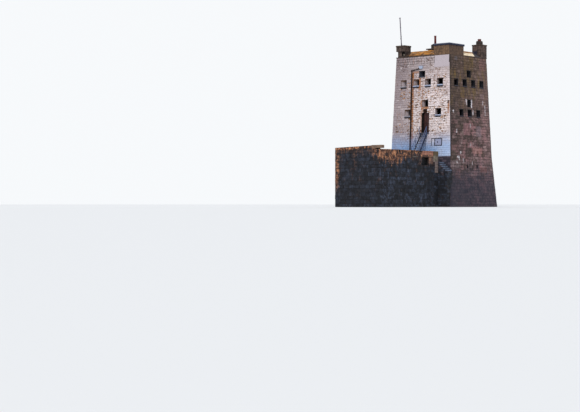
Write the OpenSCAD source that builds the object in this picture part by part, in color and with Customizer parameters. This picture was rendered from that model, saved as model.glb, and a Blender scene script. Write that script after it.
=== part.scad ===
// Martello tower, square in plan, with a gun platform before its painted front.
// X runs to the right along the front, -Y looks out over the platform and Z is up.
// The origin lies on the lowest ground, under the middle of the tower.

/* [Tower shell] */
// Width of the tower at its wall head
head_w = 7600; // [7000:50:8600]
// Lean of the upper walls, in millimetres a metre
upper_batter = 39; // [25:1:55]
// Lean of the flared base, in millimetres a metre
base_batter = 80; // [50:1:110]
// Height where the flared base ends
knee_z = 5900; // [5400:50:6500]
// Height of the solid footing
footing_h = 3300; // [2800:50:3600]
// Height of the magazine storey
magazine_h = 5000; // [4800:50:5400]
// Height of the entrance storey
entrance_h = 4300; // [4250:50:4800]
// Height of the upper storey
upper_h = 4100; // [3800:50:4600]
// Thickness of each floor
floor_t = 300; // [200:10:400]
// Width of the magazine
magazine_room_w = 4000; // [3400:50:4200]
// Width of the entrance room
entrance_room_w = 4300; // [4250:50:4450]
// Width of the upper room
upper_room_w = 4600; // [4500:50:4800]

/* [Parapet] */
// Height of the wall head over the top of the upper storey
wall_head_h = 900; // [600:50:1100]
// Width of the roof deck inside the parapet
deck_w = 5000; // [4850:50:5100]
// Thickness of the coping course under the slope
coping_t = 90; // [60:10:120]
// How far the coping course stands out
coping_out = 45; // [20:5:80]
// Rise of the sloping parapet top
slope_rise = 660; // [400:20:800]
// Width of the level crest
crest_w = 250; // [150:10:350]

/* [Openings] */
// Width of a front loophole at the outer face
loop_w = 830; // [700:10:900]
// Height of a front loophole
loop_h = 940; // [800:10:1000]
// Width of a side loophole at the outer face
side_loop_w = 750; // [600:10:850]
// Height of a side loophole
side_loop_h = 820; // [700:10:950]
// Width of every opening at its throat
throat_w = 480; // [380:10:560]
// Depth of the throat behind the outer face
throat_d = 550; // [350:10:700]
// Width of every opening at the room
inner_w = 860; // [700:10:900]
// Sill height of the upper loopholes over the storey
upper_loop_sill = 1400; // [1200:20:1440]
// Distance from the upper loophole heads to the high window
high_gap = 210; // [150:10:300]
// Sill height of the entrance loopholes over the storey
entrance_loop_sill = 2200; // [2000:20:2240]
// Width of a magazine vent
vent_w = 260; // [180:10:320]
// Height of a magazine vent
vent_h = 360; // [260:10:420]
// Thickness of a window sill
sill_t = 90; // [60:5:120]
// How far a sill stands out
sill_out = 90; // [50:5:140]

/* [Entrance door] */
// Width of the doorway
door_w = 1080; // [960:10:1140]
// Height of the doorway over its threshold
door_h = 2300; // [2000:10:2360]
// Middle of the doorway, right of the tower axis
door_x = 600; // [560:10:640]
// Depth of the stone jambs before the leaf
rebate_d = 420; // [300:10:500]
// How far each jamb covers the edge of the leaf
rebate_lap = 45; // [35:5:60]
// Thickness of the door leaf
leaf_t = 70; // [50:2:80]
// Gap round the door leaf
leaf_gap = 10; // [6:1:14]
// Radius of the hinge pins
pin_r = 12; // [9:1:14]

/* [Stair] */
// Width of the steel stair
stair_w = 900; // [760:10:940]
// Number of risers
stair_risers = 14; // [12:1:16]
// Run of the stair on plan
stair_run = 2150; // [2000:50:2700]
// Height of the handrails over the treads
rail_h = 1050; // [900:10:1150]
// Radius of the handrail tube
rail_r = 27; // [18:1:30]

/* [Corner turrets] */
// Width of a turret
turret_w = 1230; // [1150:10:1260]
// Height of the chimney turrets under their caps
shaft_h = 1430; // [1200:10:1600]
// Height of the flagpole turret's neck
neck_h = 680; // [560:10:740]
// How far the neck stands back on the outer sides
neck_in = 150; // [80:10:200]
// Height of the flagpole turret's block
block_h = 560; // [400:10:650]
// Thickness of the flagpole turret's cap
cap_t = 150; // [100:10:220]
// Thickness of the chimney turrets' thin caps
thin_cap_t = 130; // [80:10:180]
// Overhang of a turret cap
cap_out = 40; // [20:5:80]
// Overhang of the rear turret's cap
rear_cap_out = 190; // [100:10:240]
// Width of the arched niche in the flagpole turret
niche_arch_w = 400; // [240:10:440]
// Height of the arched niche in the flagpole turret
niche_arch_h = 460; // [440:10:540]

/* [Guardhouse] */
// Length of the guardhouse along the front
guard_x = 2170; // [1900:10:2250]
// Length of the guardhouse along the right side
guard_y = 2880; // [2700:10:3100]
// Height of the guardhouse over the wall head
guard_h = 1120; // [900:10:1300]
// Thickness of the guardhouse walls
guard_t = 420; // [350:10:460]
// Thickness of the guardhouse roof slab
guard_roof_t = 230; // [150:10:280]
// Overhang of the guardhouse roof slab
guard_eave = 90; // [40:5:140]

/* [Chimneys and flagpole] */
// Width of the low chimney stack
low_stack_w = 570; // [480:10:640]
// Height of the low chimney stack
low_stack_h = 470; // [350:10:600]
// Width of the rear chimney stack
rear_stack_w = 730; // [600:10:820]
// Height of the rear chimney stack
rear_stack_h = 590; // [400:10:700]
// Length of the tall chimney pot
tall_pot_h = 1000; // [800:10:1200]
// Length of the flagpole
pole_l = 3400; // [3000:50:4200]
// Radius of the flagpole
pole_r = 60; // [40:1:70]
// Lean of the flagpole, in degrees
pole_lean = 4; // [0:0.5:6]

/* [Gun platform] */
// Width of the gun platform
platform_w = 6560; // [6400:20:7600]
// Length of the gun platform before the tower axis
platform_l = 15870; // [14500:10:17000]
// Height of the platform paving
paving_z = 5150; // [4800:50:5300]
// Height of the side parapets over the paving
side_parapet_h = 1220; // [1100:10:1400]
// Height of the front parapet over the paving
front_parapet_h = 1480; // [1400:10:1600]
// Thickness of the platform parapets
parapet_t = 600; // [540:10:900]
// Width of the pier at the entry gap
pier_w = 930; // [840:10:1000]
// Height of the pier's cap stone
pier_cap_h = 470; // [380:10:560]
// Distance from the tower axis to the face of the pier at the entry gap
entry_y = 5310; // [5260:10:5600]
// Width of the niche in the right parapet
niche_w = 1300; // [1000:20:1500]
// Height of the niche's foot
niche_z = 4730; // [4500:10:4900]
// Height of the niche
niche_h = 920; // [600:10:960]
// Depth of the niche
niche_d = 380; // [250:10:450]
// Rise of the front parapet's top toward the outer corner
front_rise = 190; // [100:10:250]
// Length of the coping stone at the platform's outer corner
stone_l = 1430; // [1200:10:1800]
// Thickness of the corner coping stone at its outer end
stone_t = 330; // [280:10:380]
// Length of the gap under the outer end of the corner coping stone
gap_l = 750; // [300:10:800]

/* [Rainwater and fittings] */
// Radius of the downpipe
pipe_r = 68; // [50:1:75]
// Gap between the downpipe and the wall
pipe_gap = 40; // [30:5:60]
// Distance of the downpipe left of the tower axis
pipe_x = 1450; // [1420:5:1500]
// Width of the service hatch
hatch_w = 1060; // [900:10:1150]
// Height of the service hatch
hatch_h = 860; // [760:10:900]

/* [Hidden] */

// Circles are smooth enough at this count
$fn = 48;
// A length past every outer face
far = 30000;
// Overlap of a cutting shape past a face
cut = 20;
// Reach of a cutting shape in front of a wall
cut_reach = 600;

FRONT = 0;
RIGHT = 1;
BACK = 2;
LEFT = 3;

// Heights of the storeys, from the footing up
magazine_z = footing_h;
entrance_z = magazine_z + magazine_h;
upper_z = entrance_z + entrance_h;
deck_z = upper_z + upper_h;
head_z = deck_z + wall_head_h;
slope_z = head_z + coping_t;
crest_z = slope_z + slope_rise;
deck_top_z = deck_z + floor_t;
knee_half = head_w / 2 + (head_z - knee_z) * upper_batter / 1000;
head_half = head_w / 2;
crest_half = deck_w / 2 + crest_w;

// Sill heights of the windows and loopholes
upper_loop_z = upper_z + upper_loop_sill;
high_window_z = upper_loop_z + loop_h + high_gap;
high_window_h = 750;
high_window_w = 860;
entrance_loop_z = entrance_z + entrance_loop_sill;
mid_window_h = 800;
mid_window_z = upper_z - mid_window_h - 120;
mid_window_w = 880;
vent_z = 4530;
// Depth of a sill behind the outer face
sill_in = 330;

// Places of the openings along each face
front_loops_x = [-2650, -830, 870, 2585];
side_loops_x = [-2640, -915, 830, 2560];
entrance_side_loops_x = [-1750, -80, 1700];
entrance_left_loop_x = -2000;
entrance_right_loop_x = 2405;
high_window_x = -20;
mid_window_x = 515;
side_mid_x = -80;
vents_x = [-980, 1030];
// Share of its place along the face that an opening keeps at the room
aim = 0.7;

// The doorway
threshold_z = entrance_z + floor_t + 50;
door_top_z = threshold_z + door_h;
door_left = door_x - door_w / 2;
door_right = door_x + door_w / 2;
leaf_w = door_w + 2 * rebate_lap;
leaf_h = door_h + rebate_lap - leaf_gap;
passage_clear = 45;
passage_left = door_left - rebate_lap - leaf_gap - passage_clear;
passage_right = door_right + rebate_lap + leaf_gap;
passage_top_z = door_top_z + rebate_lap + leaf_gap;
door_face_y = -half_at(threshold_z);
leaf_front_y = door_face_y + rebate_d + leaf_gap;
hinge_x = door_left - rebate_lap + leaf_t / 2;
hinge_y = leaf_front_y + leaf_t / 2;
knuckle_r = pin_r + 14;
knuckle_h = 110;
knuckle_gap = 6;
strap_t = 8;
strap_l = 820;
strap_h = 60;
hinge_low = 320;
arm_t = 16;
hinge_heights = [hinge_low, leaf_h / 2, leaf_h - hinge_low - strap_h];

// The slot over the doorway
slot_w = 550;
slot_h = 460;
slot_d = 480;
slot_left = door_left + 210;

// The stair rises from the paving to the threshold
stair_rise = threshold_z - paving_z;
threshold_out = 80;
threshold_nose_h = 120;
stair_top_y = -half_at(threshold_z) - threshold_out;
stair_x = door_x - 40;
stringer_t = 12;
stringer_h = 230;
stringer_l = 130;
foot_l = 170;
foot_h = 60;
tread_l = 200;
tread_t = 40;
post_shares = [0.12, 0.52, 0.92];
rail_sides = 16;

// The corner turrets stand on the coping course
turret_mid = head_half + 30 - turret_w / 2;
flag_top_z = slope_z + neck_h + block_h + cap_t;
stack_foot_z = slope_z + shaft_h + thin_cap_t;
niche_arch_z = slope_z + 170;
niche_arch_d = 520;
niche_arch_jamb = 80;

// The flagpole stands near the outer edge of its turret cap
pole_in = 320;
truck_h = 90;
socket_plate_t = 24;
socket_h = 190;

// The guardhouse stands on the deck at the front right corner
guard_left = head_half - guard_x;
guard_back = -head_half + guard_y;
guard_door_w = 760;
guard_top_z = head_z + guard_h;

// Chimney pots
low_pot_r = 200;
low_pot_h = 230;
tall_pot_r = 140;
pot_wall = 45;
pot_lip_h = 50;

// The gun platform
platform_half = platform_w / 2;
side_top_z = paving_z + side_parapet_h;
front_top_z = paving_z + front_parapet_h;
stone_lip = 30;
stone_d = 500;
stone_right = platform_half + stone_lip;
stone_left = stone_right - stone_l;
stone_z = front_top_z + front_rise - stone_t;
pier_cap_out = 50;
notch_w = 650;
notch_d = 160;
notch_mid_y = -8600;
niche_mid_y = -7760;
step_drops = [0, 220, 440, 660, 880];
step_go = 250;

// The downpipe and the lead head that feeds it
front_lean = atan(upper_batter / 1000);
// Joint between the leaning wall and the fittings on it, and between pipe and head
face_gap = 0.2;
pipe_top_z = 15900;
pipe_foot_z = paving_z + 150;
pipe_run = (pipe_top_z - pipe_foot_z) / cos(front_lean);
first_bracket = knee_z + 250 - pipe_foot_z;
last_bracket = pipe_run - 300;
bracket_count = 5;
bracket_w = 196;
bracket_h = 50;
branch_run = pipe_x - 350;
branch_rise = 190;
head_box_w = 520;
head_box_h = 330;
head_box_d = 216;

// The service hatch and the conduit looped beside it
hatch_x = 1980;
hatch_z = 7100;
hatch_t = 45;
hatch_frame_w = 60;
panel_in = 25;
conduit_w = 50;
conduit_out = 430;

function half_at(z) = z < knee_z
    ? knee_half + (knee_z - z) * base_batter / 1000
    : head_w / 2 + (head_z - z) * upper_batter / 1000;

// Right-hand edge of the tower between two heights
function edge_points(z0, z1) = concat(
    [[half_at(z0), z0]],
    z0 < knee_z && z1 > knee_z ? [[knee_half, knee_z]] : [],
    [[half_at(z1), z1]]
);

function mirrored(points) = [
    for (i = [len(points) - 1 : -1 : 0]) [-points[i][0], points[i][1]]
];

function elevation(points) = concat(points, mirrored(points));

// A square body whose four sides share one elevation
module four_sided(points) {
    intersection() {
        rotate([90, 0, 0])
            linear_extrude(height = 2 * far, center = true)
                polygon(points);
        rotate([90, 0, 90])
            linear_extrude(height = 2 * far, center = true)
                polygon(points);
    }
}

module tower_mass(z0, z1) {
    four_sided(elevation(edge_points(z0, z1)));
}

// Turns a piece drawn for the front onto another side
module on_side(side) {
    rotate([0, 0, 90 * side])
        children();
}

// The front wall runs past the corners, and a side wall stands between front and back
module wall_zone(side, room_w, z0, z1) {
    run = side == FRONT || side == BACK ? far : room_w / 2;
    on_side(side)
        translate([-run, -far, z0])
            cube([2 * run, far - room_w / 2, z1 - z0]);
}

module plain_wall(side, room_w, z0, z1) {
    intersection() {
        tower_mass(z0, z1);
        wall_zone(side, room_w, z0, z1);
    }
}

// Plan of an opening: wide outside, narrow at its throat and wide again at the room,
// and aimed at the middle of the room
module embrasure_plan(x, w, mid_z, room_w) {
    face_y = -half_at(mid_z);
    room_y = -room_w / 2;
    room_x = x * aim;
    lip_y = face_y + 120;
    throat_y = face_y + throat_d;
    throat_x = x + (room_x - x) * throat_d / (room_y - face_y);
    polygon([
        [x - w / 2, face_y - cut_reach],
        [x + w / 2, face_y - cut_reach],
        [x + w / 2, lip_y],
        [throat_x + throat_w / 2, throat_y],
        [room_x + inner_w / 2, room_y],
        [room_x + inner_w / 2, room_y + cut],
        [room_x - inner_w / 2, room_y + cut],
        [room_x - inner_w / 2, room_y],
        [throat_x - throat_w / 2, throat_y],
        [x - w / 2, lip_y]
    ]);
}

module embrasure(x, z, w, h, room_w) {
    translate([0, 0, z])
        linear_extrude(height = h)
            embrasure_plan(x, w, z + h / 2, room_w);
}

module upper_openings(side) {
    on_side(side) {
        if (side == FRONT) {
            for (x = front_loops_x)
                embrasure(x, upper_loop_z, loop_w, loop_h, upper_room_w);
            embrasure(high_window_x, high_window_z, high_window_w, high_window_h, upper_room_w);
        } else {
            for (x = side_loops_x)
                embrasure(x, upper_loop_z, side_loop_w, side_loop_h, upper_room_w);
            embrasure(high_window_x, high_window_z, side_loop_w, high_window_h, upper_room_w);
        }
    }
}

module entrance_openings(side) {
    on_side(side) {
        if (side == FRONT) {
            for (x = [entrance_left_loop_x, entrance_right_loop_x])
                embrasure(x, entrance_loop_z, loop_w, loop_h, entrance_room_w);
            embrasure(mid_window_x, mid_window_z, mid_window_w, mid_window_h, entrance_room_w);
        } else {
            for (x = entrance_side_loops_x)
                embrasure(x, entrance_loop_z, side_loop_w, side_loop_h, entrance_room_w);
            embrasure(side_mid_x, mid_window_z, side_loop_w, mid_window_h, entrance_room_w);
        }
    }
}

module vent_slots(side) {
    on_side(side)
        for (x = vents_x)
            translate([x - vent_w / 2, -far, vent_z])
                cube([vent_w, far, vent_h]);
}

module magazine_wall(side) {
    color("rosybrown")
        difference() {
            plain_wall(side, magazine_room_w, magazine_z, entrance_z);
            if (side == RIGHT || side == LEFT)
                vent_slots(side);
        }
}

module entrance_wall(side) {
    color("dimgray")
        difference() {
            plain_wall(side, entrance_room_w, entrance_z, upper_z);
            entrance_openings(side);
        }
}

// Loopholes near a corner pass through the end of the front or back wall
module upper_wall(side) {
    color(side == FRONT ? "lavender" : "dimgray")
        difference() {
            plain_wall(side, upper_room_w, upper_z, deck_z);
            for (other = [FRONT, RIGHT, BACK, LEFT])
                upper_openings(other);
        }
}

// A floor rests on the ledge that the thicker wall below leaves
module floor_slab(room_w, z) {
    color("tan")
        translate([-room_w / 2, -room_w / 2, z])
            cube([room_w, room_w, floor_t]);
}

module tower_footing() {
    color("rosybrown")
        tower_mass(0, footing_h);
}

module magazine_front_wall() magazine_wall(FRONT);
module magazine_right_wall() magazine_wall(RIGHT);
module magazine_back_wall() magazine_wall(BACK);
module magazine_left_wall() magazine_wall(LEFT);

module entrance_floor() floor_slab(entrance_room_w, entrance_z);

// The part of the entrance front between two places along X, and its height
module entrance_front_piece(x0, x1, z0, z1) {
    color("lavender")
        difference() {
            intersection() {
                plain_wall(FRONT, entrance_room_w, entrance_z, upper_z);
                translate([x0, -far, z0])
                    cube([x1 - x0, far, z1 - z0]);
            }
            entrance_openings(FRONT);
        }
}

module entrance_wall_left_of_door() {
    entrance_front_piece(-far, passage_left, entrance_z, upper_z);
}

module entrance_wall_right_of_door() {
    entrance_front_piece(passage_right, far, entrance_z, upper_z);
}

// The wall over the doorway keeps a slot above the lintel line
module entrance_wall_over_door() {
    color("lavender")
        difference() {
            entrance_front_piece(passage_left, passage_right, passage_top_z, upper_z);
            translate([slot_left, -far, passage_top_z - cut])
                cube([slot_w, far + door_face_y + slot_d, door_top_z + slot_h - passage_top_z + cut]);
        }
}

module door_zone(x0, x1, z0, z1) {
    intersection() {
        tower_mass(z0, z1);
        translate([x0, -far, z0])
            cube([x1 - x0, far + door_face_y + rebate_d, z1 - z0]);
    }
}

// Stone jambs and lintel that the leaf shuts against
module door_jambs() {
    color("ghostwhite") {
        door_zone(passage_left, door_left, threshold_z, door_top_z);
        door_zone(door_right, passage_right, threshold_z, door_top_z);
        difference() {
            door_zone(passage_left, passage_right, door_top_z, passage_top_z);
            translate([slot_left, -far, door_top_z - cut])
                cube([slot_w, far, passage_top_z - door_top_z + 2 * cut]);
        }
    }
}

module door_threshold() {
    color("gray")
        intersection() {
            union() {
                plain_wall(FRONT, entrance_room_w, entrance_z, threshold_z);
                translate([-far, stair_top_y, threshold_z - threshold_nose_h])
                    cube([2 * far, knee_half, threshold_nose_h]);
            }
            translate([passage_left, -far, entrance_z])
                cube([passage_right - passage_left, far - entrance_room_w / 2, far]);
        }
}

module entrance_right_wall() entrance_wall(RIGHT);
module entrance_back_wall() entrance_wall(BACK);
module entrance_left_wall() entrance_wall(LEFT);

module upper_floor() floor_slab(upper_room_w, upper_z);

module upper_front_wall() upper_wall(FRONT);
module upper_right_wall() upper_wall(RIGHT);
module upper_back_wall() upper_wall(BACK);
module upper_left_wall() upper_wall(LEFT);

module roof_deck() floor_slab(deck_w, deck_z);

// Elevation of the parapet: upright wall head, coping course and sloping top
function parapet_points() = elevation([
    [half_at(deck_z), deck_z],
    [head_half, head_z],
    [head_half + coping_out, head_z],
    [head_half + coping_out, slope_z],
    [crest_half, crest_z]
]);

// Seat of a turret at one corner, cut level into the slope
module turret_seat(sx, sy) {
    inner = turret_mid - turret_w / 2;
    translate([sx > 0 ? inner : -far, sy > 0 ? inner : -far, slope_z])
        cube([far - inner, far - inner, far]);
}

module guardhouse_seat() {
    translate([guard_left, -far, head_z])
        cube([far, far + guard_back, far]);
}

module parapet(side) {
    color(side == FRONT ? "peru" : "saddlebrown")
        difference() {
            intersection() {
                four_sided(parapet_points());
                wall_zone(side, deck_w, deck_z, crest_z);
            }
            turret_seat(-1, -1);
            turret_seat(1, 1);
            turret_seat(-1, 1);
            guardhouse_seat();
        }
}

module front_parapet() parapet(FRONT);
module right_parapet() parapet(RIGHT);
module back_parapet() parapet(BACK);
module left_parapet() parapet(LEFT);

module turret_block(grow, z, h) {
    w = turret_w + 2 * grow;
    translate([-w / 2, -w / 2, z])
        cube([w, w, h]);
}

// A round-headed niche in the front of the flagpole turret, beside its inner edge
module arched_niche() {
    translate([turret_w / 2 - niche_arch_jamb - niche_arch_w / 2, -turret_w / 2, niche_arch_z])
        rotate([90, 0, 0])
            linear_extrude(height = 2 * niche_arch_d, center = true) {
                translate([-niche_arch_w / 2, 0])
                    square([niche_arch_w, niche_arch_h - niche_arch_w / 2]);
                translate([0, niche_arch_h - niche_arch_w / 2])
                    circle(d = niche_arch_w);
            }
}

// Its neck stands back on the two outer sides
module flagpole_turret() {
    neck_w = turret_w - neck_in;
    color("dimgray")
        translate([-turret_mid, -turret_mid, 0])
            difference() {
                union() {
                    translate([turret_w / 2 - neck_w, turret_w / 2 - neck_w, slope_z])
                        cube([neck_w, neck_w, neck_h]);
                    turret_block(0, slope_z + neck_h, block_h);
                    turret_block(cap_out, slope_z + neck_h + block_h, cap_t);
                }
                arched_niche();
            }
}

// A plain shaft under a thin cap, which carries a chimney stack
module stack_turret(out) {
    turret_block(0, slope_z, shaft_h);
    turret_block(out, slope_z + shaft_h, thin_cap_t);
}

module chimney_turret() {
    color("dimgray")
        translate([turret_mid, turret_mid, 0])
            stack_turret(cap_out);
}

module rear_turret() {
    color("dimgray")
        translate([-turret_mid, turret_mid, 0])
            stack_turret(rear_cap_out);
}

// Outer block of the guardhouse, grown by a margin on plan
module guardhouse_block(margin, z0, z1) {
    translate([guard_left - margin, -head_half - margin, z0])
        cube([guard_x + 2 * margin, guard_y + 2 * margin, z1 - z0]);
}

// The walls stand on the wall head outside and reach down to the deck inside,
// with a doorway onto the deck
module guardhouse_walls() {
    color("darkolivegreen")
        difference() {
            union() {
                guardhouse_block(0, head_z, guard_top_z);
                intersection() {
                    guardhouse_block(0, deck_top_z, head_z);
                    translate([-deck_w / 2, -deck_w / 2, 0])
                        cube([deck_w, deck_w, far]);
                }
            }
            guardhouse_block(-guard_t, 0, far);
            translate([guard_left - cut, guard_back - guard_t - guard_door_w, 0])
                cube([guard_t + 2 * cut, guard_door_w, far]);
        }
}

module guardhouse_roof() {
    color("slategray")
        guardhouse_block(guard_eave, guard_top_z, guard_top_z + guard_roof_t);
}

// A square stack with a mortar slope up to its pot
module stack(w, h, pot_r) {
    four_sided(elevation([
        [w / 2, 0],
        [w / 2, h - 110],
        [pot_r + 50, h]
    ]));
}

module chimney_stacks() {
    color("gray") {
        translate([turret_mid, turret_mid, stack_foot_z])
            stack(low_stack_w, low_stack_h, low_pot_r);
        translate([-turret_mid, turret_mid, stack_foot_z])
            stack(rear_stack_w, rear_stack_h, tall_pot_r);
    }
}

// A chimney pot with a rolled lip, open down to its foot
module pot(r, h) {
    rotate_extrude()
        difference() {
            union() {
                polygon([[0, 0], [r, 0], [r - 12, h], [0, h]]);
                translate([0, h - pot_lip_h])
                    square([r + 10, pot_lip_h]);
            }
            translate([0, 60])
                square([r - pot_wall, h]);
        }
}

module chimney_pots() {
    color("firebrick") {
        translate([turret_mid, turret_mid, stack_foot_z + low_stack_h])
            pot(low_pot_r, low_pot_h);
        translate([-turret_mid, turret_mid, stack_foot_z + rear_stack_h])
            pot(tall_pot_r, tall_pot_h);
    }
}

// The pole leans in a socket at the outer edge of its turret cap
module flagpole() {
    color("slategray")
        translate([-turret_mid - turret_w / 2 + pole_in, -turret_mid, flag_top_z]) {
            cylinder(r = pole_r * 2.2, h = socket_plate_t);
            cylinder(r = pole_r * 1.4, h = socket_h);
            rotate([0, -pole_lean, 0]) {
                translate([0, 0, socket_plate_t])
                    cylinder(r = pole_r, h = pole_l - truck_h - socket_plate_t);
                translate([0, 0, pole_l - truck_h])
                    cylinder(r = pole_r * 1.5, h = truck_h);
            }
        }
}

// A sill fills the foot of its opening and stands out before the wall
module sill(side, x, z, w, h, room_w) {
    on_side(side)
        intersection() {
            embrasure(x, z, w, h, room_w);
            translate([x - w, -half_at(z + sill_t) - sill_out, z])
                cube([2 * w, sill_out + sill_in, sill_t]);
        }
}

module window_sills() {
    color("lightsteelblue") {
        for (x = front_loops_x)
            sill(FRONT, x, upper_loop_z, loop_w, loop_h, upper_room_w);
        sill(FRONT, high_window_x, high_window_z, high_window_w, high_window_h, upper_room_w);
        for (x = [entrance_left_loop_x, entrance_right_loop_x])
            sill(FRONT, x, entrance_loop_z, loop_w, loop_h, entrance_room_w);
        for (side = [RIGHT, BACK, LEFT]) {
            for (x = side_loops_x)
                sill(side, x, upper_loop_z, side_loop_w, side_loop_h, upper_room_w);
            for (x = entrance_side_loops_x)
                sill(side, x, entrance_loop_z, side_loop_w, side_loop_h, entrance_room_w);
        }
    }
}

// Stands a piece on the plane of the upper front face, with its foot at this height
module on_front_face(x, z) {
    plane_y = head_half + (head_z - z) * upper_batter / 1000;
    translate([x, -plane_y - face_gap, z])
        rotate([-front_lean, 0, 0])
            children();
}

module pipe_bracket() {
    depth = pipe_gap + pipe_r * 0.4;
    translate([-bracket_w / 2, -depth, -bracket_h / 2])
        cube([bracket_w, depth, bracket_h]);
}

module downpipe() {
    color("sienna")
        on_front_face(-pipe_x, pipe_foot_z) {
            translate([0, -pipe_gap - pipe_r, 0])
                cylinder(r = pipe_r, h = pipe_run);
            for (i = [0 : bracket_count - 1])
                translate([0, 0, first_bracket + i * (last_bracket - first_bracket) / (bracket_count - 1)])
                    pipe_bracket();
        }
}

// A collar on the pipe, a branch that rises to the right, and the lead head on the wall
module rain_hopper() {
    color("lightsteelblue")
        on_front_face(-pipe_x, pipe_top_z) {
            translate([0, -pipe_gap - pipe_r, face_gap])
                cylinder(r = pipe_r + 12, h = 150);
            translate([0, -pipe_gap - pipe_r, 80])
                rotate([0, atan2(branch_run, branch_rise), 0])
                    cylinder(r = pipe_r * 0.8, h = norm([branch_run, branch_rise]));
            translate([branch_run - 40, -head_box_d, branch_rise + 50])
                cube([head_box_w, head_box_d, head_box_h]);
        }
}

// A framed panel with its handle and a length of conduit looped beside it
module service_hatch() {
    color("darkslategray")
        on_front_face(hatch_x, hatch_z) {
            difference() {
                translate([0, -hatch_t, 0])
                    cube([hatch_w, hatch_t, hatch_h]);
                translate([hatch_frame_w, -hatch_t - cut, hatch_frame_w])
                    cube([
                        hatch_w - 2 * hatch_frame_w,
                        panel_in + cut,
                        hatch_h - 2 * hatch_frame_w
                    ]);
            }
            translate([hatch_w * 0.38, -hatch_t - panel_in, hatch_h * 0.46])
                cube([110, 2 * panel_in, 40]);
            translate([-conduit_out, -conduit_w, 0])
                cube([conduit_w, conduit_w, hatch_h]);
            translate([-conduit_out, -conduit_w, hatch_h - conduit_w])
                cube([conduit_out, conduit_w, conduit_w]);
        }
}

// The leaf's hanging edge is round, so that it turns clear of its rebate
module door_leaf() {
    color("maroon")
        translate([hinge_x, hinge_y, threshold_z + leaf_gap])
            difference() {
                union() {
                    cylinder(d = leaf_t, h = leaf_h);
                    translate([0, -leaf_t / 2, 0])
                        cube([leaf_w - leaf_t / 2, leaf_t, leaf_h]);
                }
                for (z = hinge_heights)
                    translate([0, 0, z - arm_t - 2 * knuckle_gap])
                        cylinder(r = leaf_t / 2 + 20, h = knuckle_h + arm_t + 3 * knuckle_gap);
            }
}

module hinge_strap() {
    difference() {
        union() {
            cylinder(r = knuckle_r, h = knuckle_h);
            translate([0, leaf_t / 2, (knuckle_h - strap_h) / 2])
                cube([strap_l, strap_t, strap_h]);
            translate([0, 0, (knuckle_h - strap_h) / 2])
                cube([strap_t * 2, leaf_t / 2 + strap_t, strap_h]);
        }
        translate([0, 0, -cut])
            cylinder(r = pin_r + 0.6, h = knuckle_h + 2 * cut);
    }
}

// Three hinge straps on the room side and a ring handle outside
module door_ironwork() {
    color("black")
        translate([hinge_x, hinge_y, threshold_z + leaf_gap]) {
            for (z = hinge_heights)
                translate([0, 0, z])
                    hinge_strap();
            translate([leaf_w * 0.42, -leaf_t / 2, leaf_h * 0.5]) {
                rotate([90, 0, 0])
                    cylinder(r = 55, h = 10);
                rotate([90, 0, 0])
                    cylinder(r = 12, h = 42);
                translate([0, -30, -62])
                    rotate([90, 0, 0])
                        rotate_extrude()
                            translate([62, 0])
                                circle(r = 9, $fn = 24);
            }
        }
}

module door_pintles() {
    reach = hinge_x - passage_left;
    color("black")
        for (z = hinge_heights)
            translate([hinge_x, hinge_y, threshold_z + leaf_gap + z - arm_t - knuckle_gap / 2]) {
                translate([-reach, -pin_r * 1.5, 0])
                    cube([reach + pin_r * 1.5, pin_r * 3, arm_t]);
                cylinder(r = pin_r, h = arm_t + knuckle_h * 0.9);
            }
}

// Place along the stair, as a share of its run from the top down
function stair_y(share) = stair_top_y - stair_run * share;
function stair_z(share) = threshold_z - stair_rise * share;

module stair_stringers() {
    color("lightslategray")
        for (side = [-1, 1])
            translate([stair_x + side * (stair_w / 2 - stringer_t / 2) - stringer_t / 2, 0, 0])
                rotate([90, 0, 90])
                    linear_extrude(height = stringer_t)
                        polygon([
                            [stair_top_y, threshold_z],
                            [stair_top_y, threshold_z - stringer_h],
                            [stair_y(1) + foot_h, paving_z],
                            [stair_y(1) - foot_l, paving_z],
                            [stair_y(1) - foot_l, paving_z + foot_h],
                            [stair_top_y - stringer_l, threshold_z]
                        ]);
}

module stair_treads() {
    color("gray")
        for (i = [1 : stair_risers - 1])
            translate([
                stair_x - stair_w / 2 + stringer_t,
                stair_y(i / stair_risers) - foot_l,
                stair_z(i / stair_risers) - tread_t
            ])
                cube([stair_w - 2 * stringer_t, tread_l, tread_t]);
}

// A straight round bar between two points
module bar(a, b, r) {
    d = b - a;
    translate(a)
        rotate([0, acos(d[2] / norm(d)), atan2(d[1], d[0])])
            cylinder(r = r, h = norm(d), $fn = rail_sides);
}

module stair_handrails() {
    color("lightsteelblue")
        for (side = [-1, 1]) {
            x = stair_x + side * (stair_w / 2 + rail_r);
            for (share = post_shares)
                bar(
                    [x, stair_y(share), stair_z(share) - 60],
                    [x, stair_y(share), stair_z(share) + rail_h],
                    rail_r
                );
            for (drop = [0, 0.5])
                bar(
                    [x, stair_y(0.1), stair_z(0.1) + rail_h * (1 - drop)],
                    [x, stair_y(0.97), stair_z(0.97) + rail_h * (1 - drop)],
                    rail_r
                );
        }
}

// A block of the platform that stops against the tower
module against_tower(x0, x1, y0, y1, z0, z1) {
    difference() {
        translate([x0, y0, z0])
            cube([x1 - x0, y1 - y0, z1 - z0]);
        tower_mass(0, deck_z);
    }
}

module niche() {
    translate([platform_half - niche_d, niche_mid_y - niche_w / 2, niche_z])
        cube([niche_d + cut, niche_w, niche_h]);
}

module platform_body() {
    color("darkslategray")
        difference() {
            against_tower(-platform_half, platform_half, -platform_l, 0, 0, paving_z);
            niche();
        }
}

// Height of the front parapet's rising top at a place along X
function front_top_at(x) = front_top_z + front_rise * (x + platform_half) / platform_w;

// A length of the front parapet's elevation, as deep as it is told
module front_strip(x0, x1, z0, y0, depth) {
    translate([0, y0 + depth, 0])
        rotate([90, 0, 0])
            linear_extrude(height = depth)
                polygon([[x0, z0], [x1, z0], [x1, front_top_at(x1)], [x0, front_top_at(x0)]]);
}

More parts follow.
